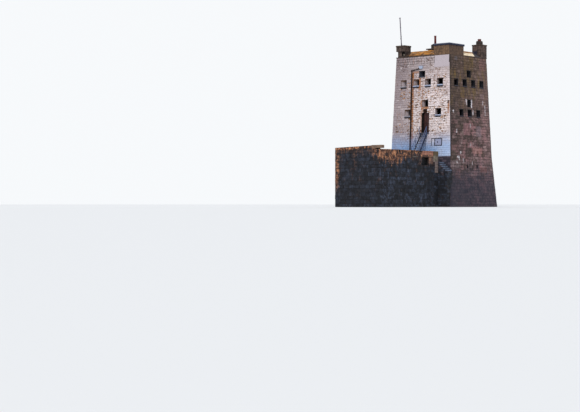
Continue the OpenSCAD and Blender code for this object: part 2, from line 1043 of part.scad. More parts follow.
// The outer end has a seat for the corner coping stone, and a gap where a stone is lost
module platform_front_parapet() {
    color("darkslategray")
        difference() {
            front_strip(-platform_half, platform_half, paving_z, -platform_l, parapet_t);
            translate([stone_left, -platform_l - cut, stone_z])
                cube([stone_l, parapet_t + 2 * cut, stone_t + cut]);
            translate([platform_half - gap_l, -platform_l - cut, side_top_z])
                cube([gap_l + cut, parapet_t + 2 * cut, stone_t + cut]);
        }
}

module platform_left_parapet() {
    color("darkslategray")
        against_tower(
            -platform_half, -platform_half + parapet_t,
            -platform_l + parapet_t, 0, paving_z, side_top_z
        );
}

module platform_right_parapet() {
    wall_end = -entry_y - pier_w;
    wall_start = -platform_l + parapet_t;
    color("darkslategray")
        difference() {
            translate([platform_half - parapet_t, wall_start, paving_z])
                cube([parapet_t, wall_end - wall_start, side_parapet_h]);
            niche();
            translate([0, notch_mid_y - notch_w / 2, side_top_z - notch_d])
                cube([far, notch_w, notch_d + cut]);
        }
}

module platform_end_pier() {
    color("olive")
        translate([platform_half - parapet_t, -entry_y - pier_w, 0]) {
            translate([0, 0, paving_z])
                cube([parapet_t, pier_w, side_parapet_h - pier_cap_h]);
            translate([0, 0, side_top_z - pier_cap_h])
                cube([parapet_t + pier_cap_out, pier_w, pier_cap_h]);
        }
}

// The stone at the outer corner bridges the gap where a stone is lost
module corner_coping_stone() {
    color("gray")
        front_strip(stone_left, stone_right, stone_z, -platform_l - stone_lip, stone_d);
}

module entry_steps() {
    color("slategray")
        for (i = [0 : len(step_drops) - 1])
            against_tower(
                platform_half + step_go * i, platform_half + step_go * (i + 1),
                -entry_y, -knee_half, 0, paving_z - step_drops[i]
            );
}

tower_footing();
magazine_front_wall();
magazine_right_wall();
magazine_back_wall();
magazine_left_wall();
entrance_floor();
entrance_wall_left_of_door();
entrance_wall_right_of_door();
entrance_wall_over_door();
door_jambs();
door_threshold();
entrance_right_wall();
entrance_back_wall();
entrance_left_wall();
upper_floor();
upper_front_wall();
upper_right_wall();
upper_back_wall();
upper_left_wall();
roof_deck();
front_parapet();
right_parapet();
back_parapet();
left_parapet();
flagpole_turret();
chimney_turret();
rear_turret();
guardhouse_walls();
guardhouse_roof();
chimney_stacks();
chimney_pots();
flagpole();
window_sills();
downpipe();
rain_hopper();
service_hatch();
door_leaf();
door_ironwork();
door_pintles();
stair_stringers();
stair_treads();
stair_handrails();
platform_body();
platform_front_parapet();
platform_left_parapet();
platform_right_parapet();
platform_end_pier();
corner_coping_stone();
entry_steps();
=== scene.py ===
"""Square martello tower with a gun platform: masonry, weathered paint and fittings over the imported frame.

Lengths are metres. X runs right along the whitewashed front, -Y looks out over the gun platform, Z is up.
"""

import logging
import math
import random
from dataclasses import dataclass, field
from enum import IntEnum
from typing import Iterable, Iterator, Sequence, Union

import bmesh
import bpy
from mathutils import Matrix, Vector


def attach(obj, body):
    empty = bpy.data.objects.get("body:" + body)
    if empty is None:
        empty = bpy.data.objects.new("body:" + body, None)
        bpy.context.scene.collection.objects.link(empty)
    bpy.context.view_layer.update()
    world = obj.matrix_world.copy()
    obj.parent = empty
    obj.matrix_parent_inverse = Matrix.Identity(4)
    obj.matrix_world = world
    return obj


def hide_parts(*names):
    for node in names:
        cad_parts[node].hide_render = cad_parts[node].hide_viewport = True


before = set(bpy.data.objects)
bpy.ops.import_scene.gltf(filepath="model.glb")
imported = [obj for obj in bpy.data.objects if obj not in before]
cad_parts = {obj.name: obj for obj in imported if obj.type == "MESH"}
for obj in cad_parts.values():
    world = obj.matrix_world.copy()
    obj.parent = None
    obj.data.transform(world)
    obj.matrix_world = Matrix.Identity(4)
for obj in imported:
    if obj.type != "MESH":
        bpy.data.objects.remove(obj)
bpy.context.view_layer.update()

LOG = logging.getLogger("martello_tower")
BODY = "tower"
DOOR_BODY = "door"
SMOOTH_ANGLE = math.radians(40.0)
SPECULAR = 0.35

Colour = tuple[float, float, float, float]
Socket = bpy.types.NodeSocket
Material = bpy.types.Material
Mesh = bmesh.types.BMesh
Pair = tuple[float, float]
Point = tuple[float, float, float]
Rect = tuple[float, float, float, float]
Tone = tuple[int, int, int]


class Side(IntEnum):
    """The four faces of the tower, in the order that quarter turns bring them."""

    FRONT = 0
    RIGHT = 1
    BACK = 2
    LEFT = 3


BARE_SIDES = (Side.RIGHT, Side.BACK, Side.LEFT)


def linear(tone: Tone) -> Colour:
    """Turns a tone into the linear colour that shader sockets expect.

    Args:
        tone: Red, green and blue from 0 to 255, as a screen shows them.

    Returns:
        The linear colour with full alpha.
    """
    shares = [value / 255.0 for value in tone]
    parts = (part / 12.92 if part <= 0.04045 else ((part + 0.055) / 1.055) ** 2.4 for part in shares)
    return (*parts, 1.0)


# Sizes


@dataclass(frozen=True)
class TowerSizes:
    """Sizes of the tower shell, as the frame has them."""

    head_half: float = 3.8
    head_z: float = 17.6
    slope_z: float = 17.69
    crest_z: float = 18.35
    crest_half: float = 2.75
    deck_half: float = 2.5
    deck_top_z: float = 17.0
    knee_z: float = 5.9
    upper_batter: float = 0.039
    base_batter: float = 0.080
    coping_out: float = 0.045

    def half_at(self, z: float) -> float:
        """Half width at a height over the ground, which grows faster below the knee."""
        return self.upper_half(max(z, self.knee_z)) + max(0.0, self.knee_z - z) * self.base_batter

    def upper_half(self, z: float) -> float:
        """Half width at a height of the upper walls' planes, which pipe and hatch follow."""
        return self.head_half + (self.head_z - z) * self.upper_batter


TOWER = TowerSizes()


@dataclass(frozen=True)
class Hole:
    """An opening of a wall face: its middle, foot, width and height."""

    x: float
    z: float
    width: float
    height: float

    @property
    def rect(self) -> Rect:
        """Its rectangle on the face."""
        return self.x - self.width / 2, self.x + self.width / 2, self.z, self.z + self.height

    def lintel(self, depth: float, reach: float) -> Rect:
        """Rectangle of the stone over it."""
        left, right, _, head = self.rect
        return left - reach, right + reach, head, head + depth

    def sill(self, depth: float, reach: float) -> Rect:
        """Rectangle of the sill's nose, which reaches a little past it at the sides and below."""
        left, right, foot, _ = self.rect
        return left - reach, right + reach, foot - reach, foot + depth


UPPER_ROW_Z = 14.0
LOWER_ROW_Z = 10.5


def loops(upper: Sequence[float], lower: Sequence[float], width: float, height: float) -> tuple[Hole, ...]:
    """The loopholes of one side, from the middles of those in its two rows."""
    rows = [(x, UPPER_ROW_Z) for x in upper] + [(x, LOWER_ROW_Z) for x in lower]
    return tuple(Hole(x, z, width, height) for x, z in rows)


FRONT_LOOPS = loops((-2.65, -0.83, 0.87, 2.585), (-2.0, 2.405), 0.83, 0.94)
FRONT_HIGH = Hole(-0.02, 15.15, 0.86, 0.75)
FRONT_MID = Hole(0.515, 11.68, 0.88, 0.80)
FRONT_HOLES = (*FRONT_LOOPS, FRONT_HIGH, FRONT_MID)
SIDE_LOOPS = loops((-2.64, -0.915, 0.83, 2.56), (-1.75, -0.08, 1.70), 0.75, 0.82)
SIDE_HOLES = (*SIDE_LOOPS, Hole(-0.02, 15.15, 0.75, 0.75), Hole(-0.08, 11.68, 0.75, 0.80))
VENTS = (Hole(-0.98, 4.53, 0.26, 0.36), Hole(1.03, 4.53, 0.26, 0.36))
DOORWAY: Rect = (0.06, 1.14, 8.65, 10.95)
HATCH: Rect = (1.98, 3.04, 7.10, 7.96)
HATCH_PATCH: Rect = (1.53, 3.06, 7.08, 7.98)


# Shader graphs


class Value:
    """A number or a colour of a graph, whose sums add the nodes that they need."""

    def __init__(self, graph: "Graph", socket: Socket) -> None:
        """Keeps the graph and the output of the node that gives the value."""
        self.graph = graph
        self.socket = socket

    def __add__(self, other: "Share") -> "Value":
        """Both together."""
        return self.graph.math("ADD", self, other)

    def __sub__(self, other: "Share") -> "Value":
        """This value less the other."""
        return self.graph.math("SUBTRACT", self, other)

    def __rsub__(self, other: float) -> "Value":
        """A plain number less this value."""
        return self.graph.math("SUBTRACT", other, self)

    def __mul__(self, other: "Share") -> "Value":
        """Product of both."""
        return self.graph.math("MULTIPLY", self, other)

    def __rmul__(self, other: float) -> "Value":
        """Product of a plain number and this value."""
        return self.graph.math("MULTIPLY", other, self)

    def __or__(self, other: "Share") -> "Value":
        """The larger of both."""
        return self.graph.math("MAXIMUM", self, other)

    def __ror__(self, other: float) -> "Value":
        """The larger of a plain number and this value."""
        return self.graph.math("MAXIMUM", other, self)

    def __abs__(self) -> "Value":
        """The value without its sign."""
        return self.graph.math("ABSOLUTE", self)

    def span(self, low: float, high: float, to_low: float, to_high: float) -> "Value":
        """Maps the value smoothly from one span onto another.

        Args:
            low: Value that gives to_low.
            high: Value that gives to_high.
            to_low: Result at low.
            to_high: Result at high.

        Returns:
            The mapped value.
        """
        inputs = {"Value": self, "From Min": low, "From Max": high, "To Min": to_low, "To Max": to_high}
        return self.graph.add("ShaderNodeMapRange", inputs, interpolation_type="SMOOTHSTEP")

    def rise(self, low: float, high: float, share: float = 1.0) -> "Value":
        """Mask that grows from 0 at low to a share at high."""
        return self.span(low, high, 0.0, share)

    def fall(self, low: float, high: float, share: float = 1.0) -> "Value":
        """Mask that fades from a share at low to 0 at high."""
        return self.span(low, high, share, 0.0)

    def band(self, low: float, high: float, soft: float) -> "Value":
        """Mask that is 1 between two values and fades over a soft edge."""
        return self.rise(low - soft, low) * self.fall(high, high + soft)

    def ragged(self, noise: "Value", reach: float) -> "Value":
        """The value pushed up and down by a noise."""
        return self + (noise - 0.5) * reach


Key = Union[int, str]
Share = Union[Value, float]
Paint = Union[Value, Tone, Colour]


class Graph:
    """Builds the nodes of one material on Object coordinates."""

    def __init__(self, name: str) -> None:
        """Starts an empty material.

        Args:
            name: Name of the material.
        """
        self.material = bpy.data.materials.new(name)
        self.material.use_nodes = True
        self.tree = self.material.node_tree
        self.tree.nodes.clear()
        self.coords = self.add("ShaderNodeTexCoord", {}, "Object")
        self._axes: tuple[Value, ...] = ()

    def add(self, kind: str, inputs: dict[Key, object], output: Key = 0, **settings: str) -> Value:
        """Adds a node.

        Args:
            kind: Blender's name for the node type.
            inputs: Values of the graph, or plain ones, for its inputs.
            output: Output to give back.
            **settings: Properties to set on it.

        Returns:
            The output's value.
        """
        made = self.tree.nodes.new(kind)
        for key, setting in settings.items():
            setattr(made, key, setting)
        for key, given in inputs.items():
            if isinstance(given, Value):
                self.tree.links.new(given.socket, made.inputs[key])
            else:
                made.inputs[key].default_value = given
        return Value(self, made.outputs[output])

    @property
    def axes(self) -> tuple[Value, ...]:
        """The object's X, Y and Z, split when they are first asked for."""
        if not self._axes:
            split = self.add("ShaderNodeSeparateXYZ", {0: self.coords}).socket.node
            self._axes = tuple(Value(self, socket) for socket in split.outputs)
        return self._axes

    def math(self, operation: str, first: Share, second: Share = 0.0) -> Value:
        """Does one sum, which goes by Blender's name for it."""
        return self.add("ShaderNodeMath", {0: first, 1: second}, operation=operation)

    def patch(self, rect: Rect, soft: float, grain: Value | None = None) -> Value:
        """Mask of a rectangle on the front face, with a ragged edge.

        Args:
            rect: Lowest X, highest X, lowest Z and highest Z.
            soft: Width of its edge.
            grain: Noise that pushes the edge in and out.

        Returns:
            The mask.
        """
        across, up = self.axes[0], self.axes[2]
        if grain is not None:
            across, up = across.ragged(grain, soft * 5.0), up.ragged(grain, soft * 5.0)
        return across.band(rect[0], rect[1], soft) * up.band(rect[2], rect[3], soft)

    def box(self, low: Point, high: Point, soft: float) -> Value:
        """Mask of a block of space.

        Args:
            low: Its lowest X, Y and Z.
            high: Its highest X, Y and Z.
            soft: Width of its edge.

        Returns:
            The mask.
        """
        inside: Share = 1.0
        for axis, near, far in zip(self.axes, low, high):
            inside = inside * axis.band(near, far, soft)
        return inside

    def noise(
        self, scale: float, detail: float, roughness: float, stretch: Point = (1.0, 1.0, 1.0),
        shift: Point = (0.0, 0.0, 0.0), distortion: float = 0.0,
    ) -> Value:
        """Noise over the object.

        Args:
            scale: Waves a metre.
            detail: Number of finer layers.
            roughness: Weight of the finer layers.
            stretch: Scale along X, Y and Z.
            shift: Offset of the pattern.
            distortion: How much the pattern is bent.

        Returns:
            A value from 0 to 1.
        """
        place = self.add("ShaderNodeMapping", {"Vector": self.coords, "Scale": stretch, "Location": shift})
        inputs = {"Vector": place, "Scale": scale, "Detail": detail, "Roughness": roughness}
        return self.add("ShaderNodeTexNoise", {**inputs, "Distortion": distortion}, "Fac")

    def mix(self, share: Share, under: Paint, over: Paint) -> Value:
        """Lays one colour over another.

        Args:
            share: How much of the upper colour shows.
            under: Lower colour.
            over: Upper colour.

        Returns:
            The mixed colour.
        """
        inputs = {0: share}
        for place, paint in ((6, under), (7, over)):
            plain = not isinstance(paint, Value) and len(paint) == 3
            inputs[place] = linear(paint) if plain else paint
        return self.add("ShaderNodeMix", inputs, 2, data_type="RGBA")

    def tint(self) -> Value:
        """The value that each stone carries, which is 0 on the mortar behind."""
        return self.add("ShaderNodeAttribute", {}, "Fac", attribute_name="tint")

    def finish(
        self, colour: Value, roughness: Share, height: Value, depth: float, strength: float
    ) -> Material:
        """Adds the shader and the output.

        Args:
            colour: Base colour.
            roughness: Roughness.
            height: Height of the surface from 0 to 1.
            depth: Metres that a height of 1 stands for.
            strength: Share of the relief that shows.

        Returns:
            The material.
        """
        normal = self.add("ShaderNodeBump", {"Strength": strength, "Distance": depth, "Height": height})
        inputs = {"Base Color": colour, "Roughness": roughness, "Normal": normal, "Metallic": 0.0}
        surface = self.add("ShaderNodeBsdfPrincipled", {**inputs, "Specular IOR Level": SPECULAR})
        output = self.tree.nodes.new("ShaderNodeOutputMaterial")
        self.tree.links.new(surface.socket, output.inputs["Surface"])
        return self.material


# Finishes


@dataclass(frozen=True)
class Shade:
    """A block of space where a stone takes another colour."""

    low: Point
    high: Point
    colour: Tone
    share: float
    soft: float


def side_shades(face_x: float, rows: Iterable[tuple[Rect, Tone, float, float]]) -> tuple[Shade, ...]:
    """Blocks of another colour from face_x outwards, from their Y and Z, tone, share and soft edge."""
    return tuple(
        Shade((face_x, rect[0], rect[2]), (9.0, rect[1], rect[3]), tone, share, soft)
        for rect, tone, share, soft in rows
    )


def shaded(g: Graph, base: Value, shades: Iterable[Shade], mottle: Share = 1.0) -> Value:
    """Lays blocks of another colour over a finish.

    Args:
        g: Graph of the material.
        base: Colour below.
        shades: Blocks to lay, the last on top.
        mottle: Share of all of them, from point to point.

    Returns:
        The shaded colour.
    """
    for shade in shades:
        mask = g.box(shade.low, shade.high, shade.soft) * shade.share
        base = g.mix(mask * mottle, base, shade.colour)
    return base


@dataclass(frozen=True)
class WhitewashFinish:
    """Limewash that flakes from a rubble front, with rust, ochre dashes and a bluish foot."""

    pale: Tone = (226, 211, 211)
    dull: Tone = (160, 147, 151)
    chalk: Tone = (236, 224, 224)
    fresh: Tone = (181, 170, 176)
    mortar: Tone = (84, 64, 56)
    ochre: Tone = (172, 118, 52)
    bare: Tone = (68, 46, 34)
    soot: Tone = (46, 28, 22)
    rust: Tone = (154, 94, 38)
    sky_blue: Tone = (130, 174, 226)
    shadow: Tone = (30, 25, 30)
    reveal: Tone = (168, 156, 160)
    doorway_shade: Tone = (20, 13, 12)
    granite: Tone = (78, 68, 78)
    paint_foot_z: float = 5.86

    def build(self) -> Material:
        """Makes the material."""
        g = Graph("whitewash")
        across, up = g.axes[0], g.axes[2]
        tint = g.tint()
        broad = g.noise(0.6, 4, 0.6)
        grain = g.noise(3.2, 8, 0.72)
        clean = g.patch((1.70, 3.9, 16.24, 17.6), 0.03)
        free = clean.fall(0.0, 1.0)
        middle = up.band(9.0, 14.8, 1.2) * across.band(-1.5, 3.2, 1.0)
        base = g.mix(across.rise(-3.6, 1.6), self.dull, self.pale)
        base = g.mix(across.fall(-3.4, -1.6, 0.5) * up.rise(11.5, 13.5), base, (130, 116, 120))
        base = g.mix(broad.rise(0.35, 0.68, 0.36), base, self.dull)
        base = g.mix(up.rise(14.3, 16.6, 0.5), base, (118, 104, 106))
        base = g.mix(tint.fall(0.22, 0.42, 0.3), base, (146, 128, 124))
        base = g.mix(tint.rise(0.8, 1.0, 0.28), base, self.chalk)
        fair = up.band(9.0, 12.6, 0.5) * across.band(-1.4, 3.6, 0.3)
        base = g.mix(fair * 0.55, base, self.chalk)
        base = g.mix(clean, base, self.fresh)
        base = self.stained(g, base, grain, free, middle)
        low = up.fall(6.4, 9.2, 0.9)
        blue = g.mix(grain.rise(0.42, 0.6, 0.5), self.sky_blue, (104, 122, 160))
        base = g.mix(low * broad.span(0.3, 0.62, 0.72, 1.0), base, blue)
        bright = across.rise(1.2, 3.2) * up.fall(6.2, 8.4, 0.55)
        base = g.mix(bright, base, (196, 208, 232))
        share = middle.span(0.0, 1.0, 0.4, 0.66) * free
        seams = tint.fall(0.02, 0.1) * share
        base = g.mix(seams * grain.span(0.36, 0.56, 0.35, 1.0), base, self.mortar)
        # Painted shadow under the sills.
        base = g.mix(self.sill_shadows(g, grain), base, self.shadow)
        foot = up.fall(self.paint_foot_z - 0.02, self.paint_foot_z + 0.02)
        stone = g.mix(tint.rise(0.15, 0.9), (46, 42, 52), self.granite)
        stone = g.mix(grain.rise(0.48, 0.62, 0.7), stone, (30, 30, 42))
        base = g.mix(foot, base, stone)
        inner = g.mix(grain.rise(0.44, 0.66), self.reveal, (146, 124, 110))
        for head in (11.32, 12.36, 14.82):
            inner = g.mix(up.band(head, head + 0.2, 0.12) * 0.75, inner, (146, 110, 82))
        # Painted shade in the door's reveals.
        inner = g.mix(g.patch((-0.15, 1.3, 8.4, 11.05), 0.02), inner, self.doorway_shade)
        inner = g.mix(g.patch((0.1, 1.0, 11.05, 11.45), 0.02), inner, (84, 58, 46))
        wide = across.band(-0.2, 1.4, 1.2) * up.band(13.9, 15.0, 0.1)
        inner = g.mix((wall_behind(g) - wide * 0.22).rise(0.32, 0.6), inner, self.shadow)
        # Painted shade in the high window's reveals.
        inner = g.mix(g.patch((-0.5, 0.45, 15.12, 16.0), 0.02), inner, (50, 52, 62))
        base = g.mix(wall_depth(g), base, inner)
        base = g.mix(wall_return(g), base, (46, 38, 36))
        height = g.noise(22.0, 6, 0.7) * 0.4 + grain
        return g.finish(base, grain.span(0.3, 0.7, 0.74, 0.95), height, 0.05, 0.6)

    def sill_shadows(self, g: Graph, grain: Value) -> Value:
        """Mask of the painted shadow under the sills.

        Args:
            g: Graph of the material.
            grain: Noise that breaks its edge.

        Returns:
            The mask.
        """
        total: Share = 0.0
        for hole in FRONT_LOOPS:
            rect = (hole.x - 0.36, hole.x + 0.36, hole.z - 0.09, hole.z + 0.02)
            total = total | g.patch(rect, 0.02, grain)
        return total * 0.95

    def stained(self, g: Graph, base: Value, grain: Value, free: Value, middle: Value) -> Value:
        """Lays rust runs, brown dashes and soot over the wash, and a painted shadow under the stair's
        landing.

        Args:
            g: Graph of the material.
            base: Colour of the wash.
            grain: Noise that breaks the edges.
            free: Mask of all that isn't freshly painted.
            middle: Mask of the part that weathers most.

        Returns:
            The stained colour.
        """
        zones = middle
        for rect in (
            (2.1, 3.0, 12.8, 13.9), (-3.1, -2.3, 12.8, 13.9), (2.0, 3.3, 9.5, 10.5), (-3.7, -1.7, 8.8, 9.8),
            (-1.9, -1.0, 6.4, 15.6), (-0.5, 0.6, 12.6, 15.0), (2.4, 3.1, 8.3, 9.4), (3.1, 3.5, 14.3, 15.5),
            (-0.7, 0.9, 16.9, 17.3), (-3.0, -2.1, 16.0, 16.8), (1.15, 1.40, 15.3, 17.4),
            (1.4, 2.5, 15.8, 16.15),
        ):
            zones = zones | g.patch(rect, 0.15, grain)
        dashes = g.noise(2.8, 6, 0.7, (1.0, 1.0, 2.2), (2, 0, 5))
        edge = zones.span(0.0, 1.0, 0.62, 0.534)
        brown = (dashes - edge).rise(0.0, 0.03, 0.95)
        tone = g.mix(g.noise(5.0, 4, 0.6).rise(0.44, 0.54), self.ochre, self.bare)
        tone = g.mix(g.axes[2].rise(15.2, 16.4, 0.85), tone, (76, 56, 58))
        base = g.mix(brown * free, base, tone)
        flecks = g.noise(5.4, 5, 0.7, (1.0, 1.0, 1.7), (7, 1, 3))
        flake = flecks.rise(0.585, 0.62) * zones.span(0.0, 1.0, 0.45, 0.95)
        base = g.mix(flake * free, base, self.bare)
        drips = g.noise(1.7, 6, 0.65, (2.6, 2.6, 0.25))
        base = g.mix(drips.rise(0.54, 0.68, 0.3) * free, base, self.rust)
        for rect, share in (
            ((-0.46, -0.18, 13.6, 15.05), 0.95), ((-1.50, -1.17, 5.6, 15.7), 0.95),
            ((0.07, 0.20, 11.0, 13.8), 0.5), ((0.0, 1.05, 11.42, 11.68), 0.85),
            ((-1.35, -0.5, 15.72, 15.85), 0.7), ((-0.10, 0.06, 8.3, 11.2), 0.5),
            ((3.75, 3.95, 10.85, 12.2), 0.9), ((-0.10, 0.08, 11.7, 12.4), 0.8),
        ):
            streak = g.patch(rect, 0.06, grain) * grain.span(0.38, 0.56, 0.45, share)
            base = g.mix(streak, base, self.rust)
        # The last rectangle is painted shadow under the stair's landing, below the door threshold.
        for rect in ((-1.50, -1.38, 5.6, 15.6), (3.70, 3.88, 11.95, 12.3), (-0.12, 0.85, 8.12, 8.62)):
            base = g.mix(g.patch(rect, 0.03, grain) * 0.9, base, self.soot)
        return base


@dataclass(frozen=True)
class Splash:
    """A pale run on the right side: its middle along Y, its head, its length and how much of it shows."""

    y: float
    top_z: float
    length: float
    share: float = 1.0


SPLASHES = (
    Splash(-2.54, 5.90, 0.4), Splash(-2.85, 5.90, 0.13), Splash(-3.0, 5.25, 0.12, 0.7),
    Splash(-1.7, 5.6, 0.4, 0.4), Splash(0.1, 5.25, 0.3, 0.5), Splash(-2.15, 6.4, 0.2, 0.8),
    Splash(-0.1, 7.35, 0.2, 0.4), Splash(-2.83, 8.97, 0.35, 0.7), Splash(0.0, 9.65, 0.35, 0.4),
    Splash(-3.4, 11.15, 0.2), Splash(3.12, 11.95, 1.1, 0.5), Splash(2.7, 12.45, 0.35, 0.6),
    Splash(0.38, 12.5, 0.85), Splash(-0.70, 12.5, 0.55), Splash(0.62, 11.3, 0.5, 0.7),
)
RIGHT_SHADES = side_shades(3.6, (
    ((-1.4, -0.15, 8.45, 9.7), (150, 108, 112), 0.8, 0.15),
    ((1.2, 2.15, 8.3, 9.4), (144, 124, 132), 0.7, 0.15),
    ((-0.7, 0.5, 7.75, 8.3), (58, 49, 44), 0.85, 0.15),
    ((-2.9, -1.5, 9.15, 9.6), (70, 58, 48), 0.8, 0.12),
    ((0.25, 2.2, 6.3, 6.9), (160, 114, 108), 0.85, 0.12),
    ((1.0, 1.65, 7.1, 7.4), (40, 32, 30), 0.9, 0.06),
    ((2.0, 2.35, 7.05, 7.45), (40, 32, 30), 0.9, 0.05),
    ((-1.25, -0.1, 5.9, 6.8), (66, 56, 52), 0.85, 0.15),
    ((-4.6, -3.2, 5.4, 6.4), (56, 50, 36), 0.85, 0.06),
    ((-4.7, -2.35, 4.55, 5.3), (152, 132, 134), 0.6, 0.06),
    ((1.65, 3.0, 4.1, 4.65), (112, 74, 72), 0.8, 0.08),
    ((2.3, 3.4, 16.2, 17.4), (128, 88, 88), 0.55, 0.2),
    ((-0.8, 0.8, 16.0, 17.3), (104, 82, 46), 0.5, 0.3),
    ((-1.8, -1.1, 12.8, 13.9), (112, 88, 42), 0.6, 0.15),
    ((-3.0, -2.7, 15.3, 16.0), (120, 90, 42), 0.6, 0.1),
    ((2.2, 3.0, 12.8, 13.3), (146, 124, 126), 0.6, 0.1),
    ((-2.8, -2.3, 17.05, 17.4), (112, 108, 118), 0.6, 0.1),
))


@dataclass(frozen=True)
class GraniteFinish:
    """Bare rubble granite, browner and greener above, pinker below, with mortar, lichen and pale runs."""

    high: Tone = (102, 81, 68)
    low: Tone = (130, 103, 104)
    dark: Tone = (42, 34, 31)
    light: Tone = (180, 152, 150)
    mortar: Tone = (46, 38, 36)
    lichen: Tone = (118, 96, 54)
    white: Tone = (216, 210, 216)
    reveal: Tone = (22, 22, 30)
    opening_rim_shade: Tone = (26, 24, 28)

    def build(self) -> Material:
        """Makes the material."""
        g = Graph("granite")
        up = g.axes[2]
        tint = g.tint()
        broad = g.noise(0.5, 4, 0.6, (1, 1, 0.7))
        grain = g.noise(2.8, 8, 0.74)
        rise = up.ragged(broad, 5.0)
        base = g.mix(rise.rise(7.0, 14.5), self.low, self.high)
        spread = rise.span(8.0, 14.0, 1.0, 0.32)
        base = g.mix(tint.fall(0.22, 0.46, 0.7) * spread, base, self.dark)
        base = g.mix(tint.rise(0.74, 1.0, 0.65) * spread, base, self.light)
        calm = up.span(9.5, 13.5, 1.0, 0.6)
        base = g.mix(grain.rise(0.49, 0.62, 0.75) * calm, base, self.dark)
        blots = g.noise(1.5, 8, 0.76, (1, 1, 1), (4, 4, 9)).rise(0.47, 0.6, 0.65)
        base = g.mix(blots * calm, base, self.dark)
        rosy = g.noise(0.9, 5, 0.65, (1, 1, 1.3), (3, 9, 4)).rise(0.5, 0.58, 0.65)
        base = g.mix(rosy * up.span(9.5, 12.0, 1.0, 0.1), base, (158, 116, 118))
        mossy = g.noise(1.0, 5, 0.65, (1, 1, 1.3), (8, 2, 7)).rise(0.53, 0.59, 0.7)
        base = g.mix(mossy * up.span(10.0, 13.0, 1.0, 0.3), base, (60, 51, 41))
        right = g.axes[0].rise(2.8, 3.0)
        base = g.mix(g.axes[1].fall(-4.2, 0.5, 0.5) * right, base, (56, 46, 42))
        base = g.mix(g.axes[1].rise(0.5, 3.8, 0.3) * right, base, (142, 114, 114))
        face = wall_face(g)
        front_edge = (face + g.axes[1]).fall(0.05, 0.4, 0.7)
        back_edge = (face - g.axes[1]).fall(0.05, 0.3, 0.5)
        base = g.mix((front_edge | back_edge) * right, base, (34, 25, 24))
        growth = g.noise(1.1, 7, 0.72, (1.2, 1.2, 0.55), (5, 5, 5)).rise(0.49, 0.64) * 0.62
        base = g.mix(growth * up.span(10.5, 14.0, 0.12, 1.0), base, self.lichen)
        runs = g.noise(1.5, 6, 0.65, (2.4, 2.4, 0.2), (9, 2, 0))
        base = g.mix(runs.rise(0.54, 0.68, 0.65), base, self.dark)
        base = g.mix(tint.fall(0.02, 0.1, 0.9) * calm, base, self.mortar)
        # Darker and bluer towards the foot.
        foot_level = up.ragged(grain, 7.0)
        base = g.mix(foot_level.fall(2.6, 5.8, 0.76), base, (42, 44, 60))
        specks = g.noise(3.4, 7, 0.8, (1.0, 1.0, 0.6), (1, 8, 3)).rise(0.655, 0.69, 0.75)
        base = g.mix(specks * up.span(7.0, 13.0, 1.0, 0.2), base, (200, 182, 178))
        base = shaded(g, base, RIGHT_SHADES, grain.span(0.36, 0.54, 1.0, 0.45))
        # Painted shade: a dark edge round each side opening, which widens its dark.
        for hole in SIDE_HOLES:
            left, right, foot, head = hole.rect
            mask = g.box((3.6, left - 0.05, foot - 0.01), (9.0, right + 0.05, head + 0.08), 0.03)
            base = g.mix(mask, base, self.opening_rim_shade)
        base = g.mix(self.pale_runs(g, grain), base, self.white)
        # Painted shade in the side openings' reveals.
        base = g.mix(wall_depth(g), base, self.reveal)
        height = g.noise(24.0, 5, 0.7) * 0.35 + grain
        return g.finish(base, grain.span(0.3, 0.7, 0.75, 0.95), height, 0.06, 0.65)

    def pale_runs(self, g: Graph, grain: Value) -> Value:
        """Mask of the pale runs on the right side.

        Args:
            g: Graph of the material.
            grain: Noise that breaks their edges.

        Returns:
            The mask.
        """
        along, up = g.axes[1].ragged(grain, 0.7), g.axes[2]
        total: Share = 0.0
        for run in SPLASHES:
            wide = along.band(run.y - 0.07, run.y + 0.07, 0.05)
            tall = up.band(run.top_z - run.length, run.top_z, 0.12)
            total = total | wide * tall * run.share
        right = g.axes[0].rise(3.0, 3.3)
        return total * right * grain.span(0.38, 0.5, 0.3, 0.95)


def wall_face(g: Graph) -> Value:
    """Distance from the tower's axis to its outer faces, at the height of each point."""
    above, below = (
        (TOWER.knee_z - g.axes[2]) * batter for batter in (TOWER.upper_batter, TOWER.base_batter)
    )
    return (above | below) + TOWER.half_at(TOWER.knee_z)


def wall_behind(g: Graph) -> Value:
    """Distance of each point behind the tower's outer faces."""
    return wall_face(g) - (abs(g.axes[0]) | abs(g.axes[1]))


def wall_depth(g: Graph) -> Value:
    """Mask of the surfaces that lie behind the tower's outer faces, such as window reveals."""
    return wall_behind(g).rise(0.03, 0.07)


def wall_return(g: Graph) -> Value:
    """Mask of the side faces, where the ends of the front wall show."""
    face, across, along = wall_face(g), abs(g.axes[0]), abs(g.axes[1])
    return (across - face).rise(-0.04, -0.02) * (face - along).rise(0.02, 0.05)


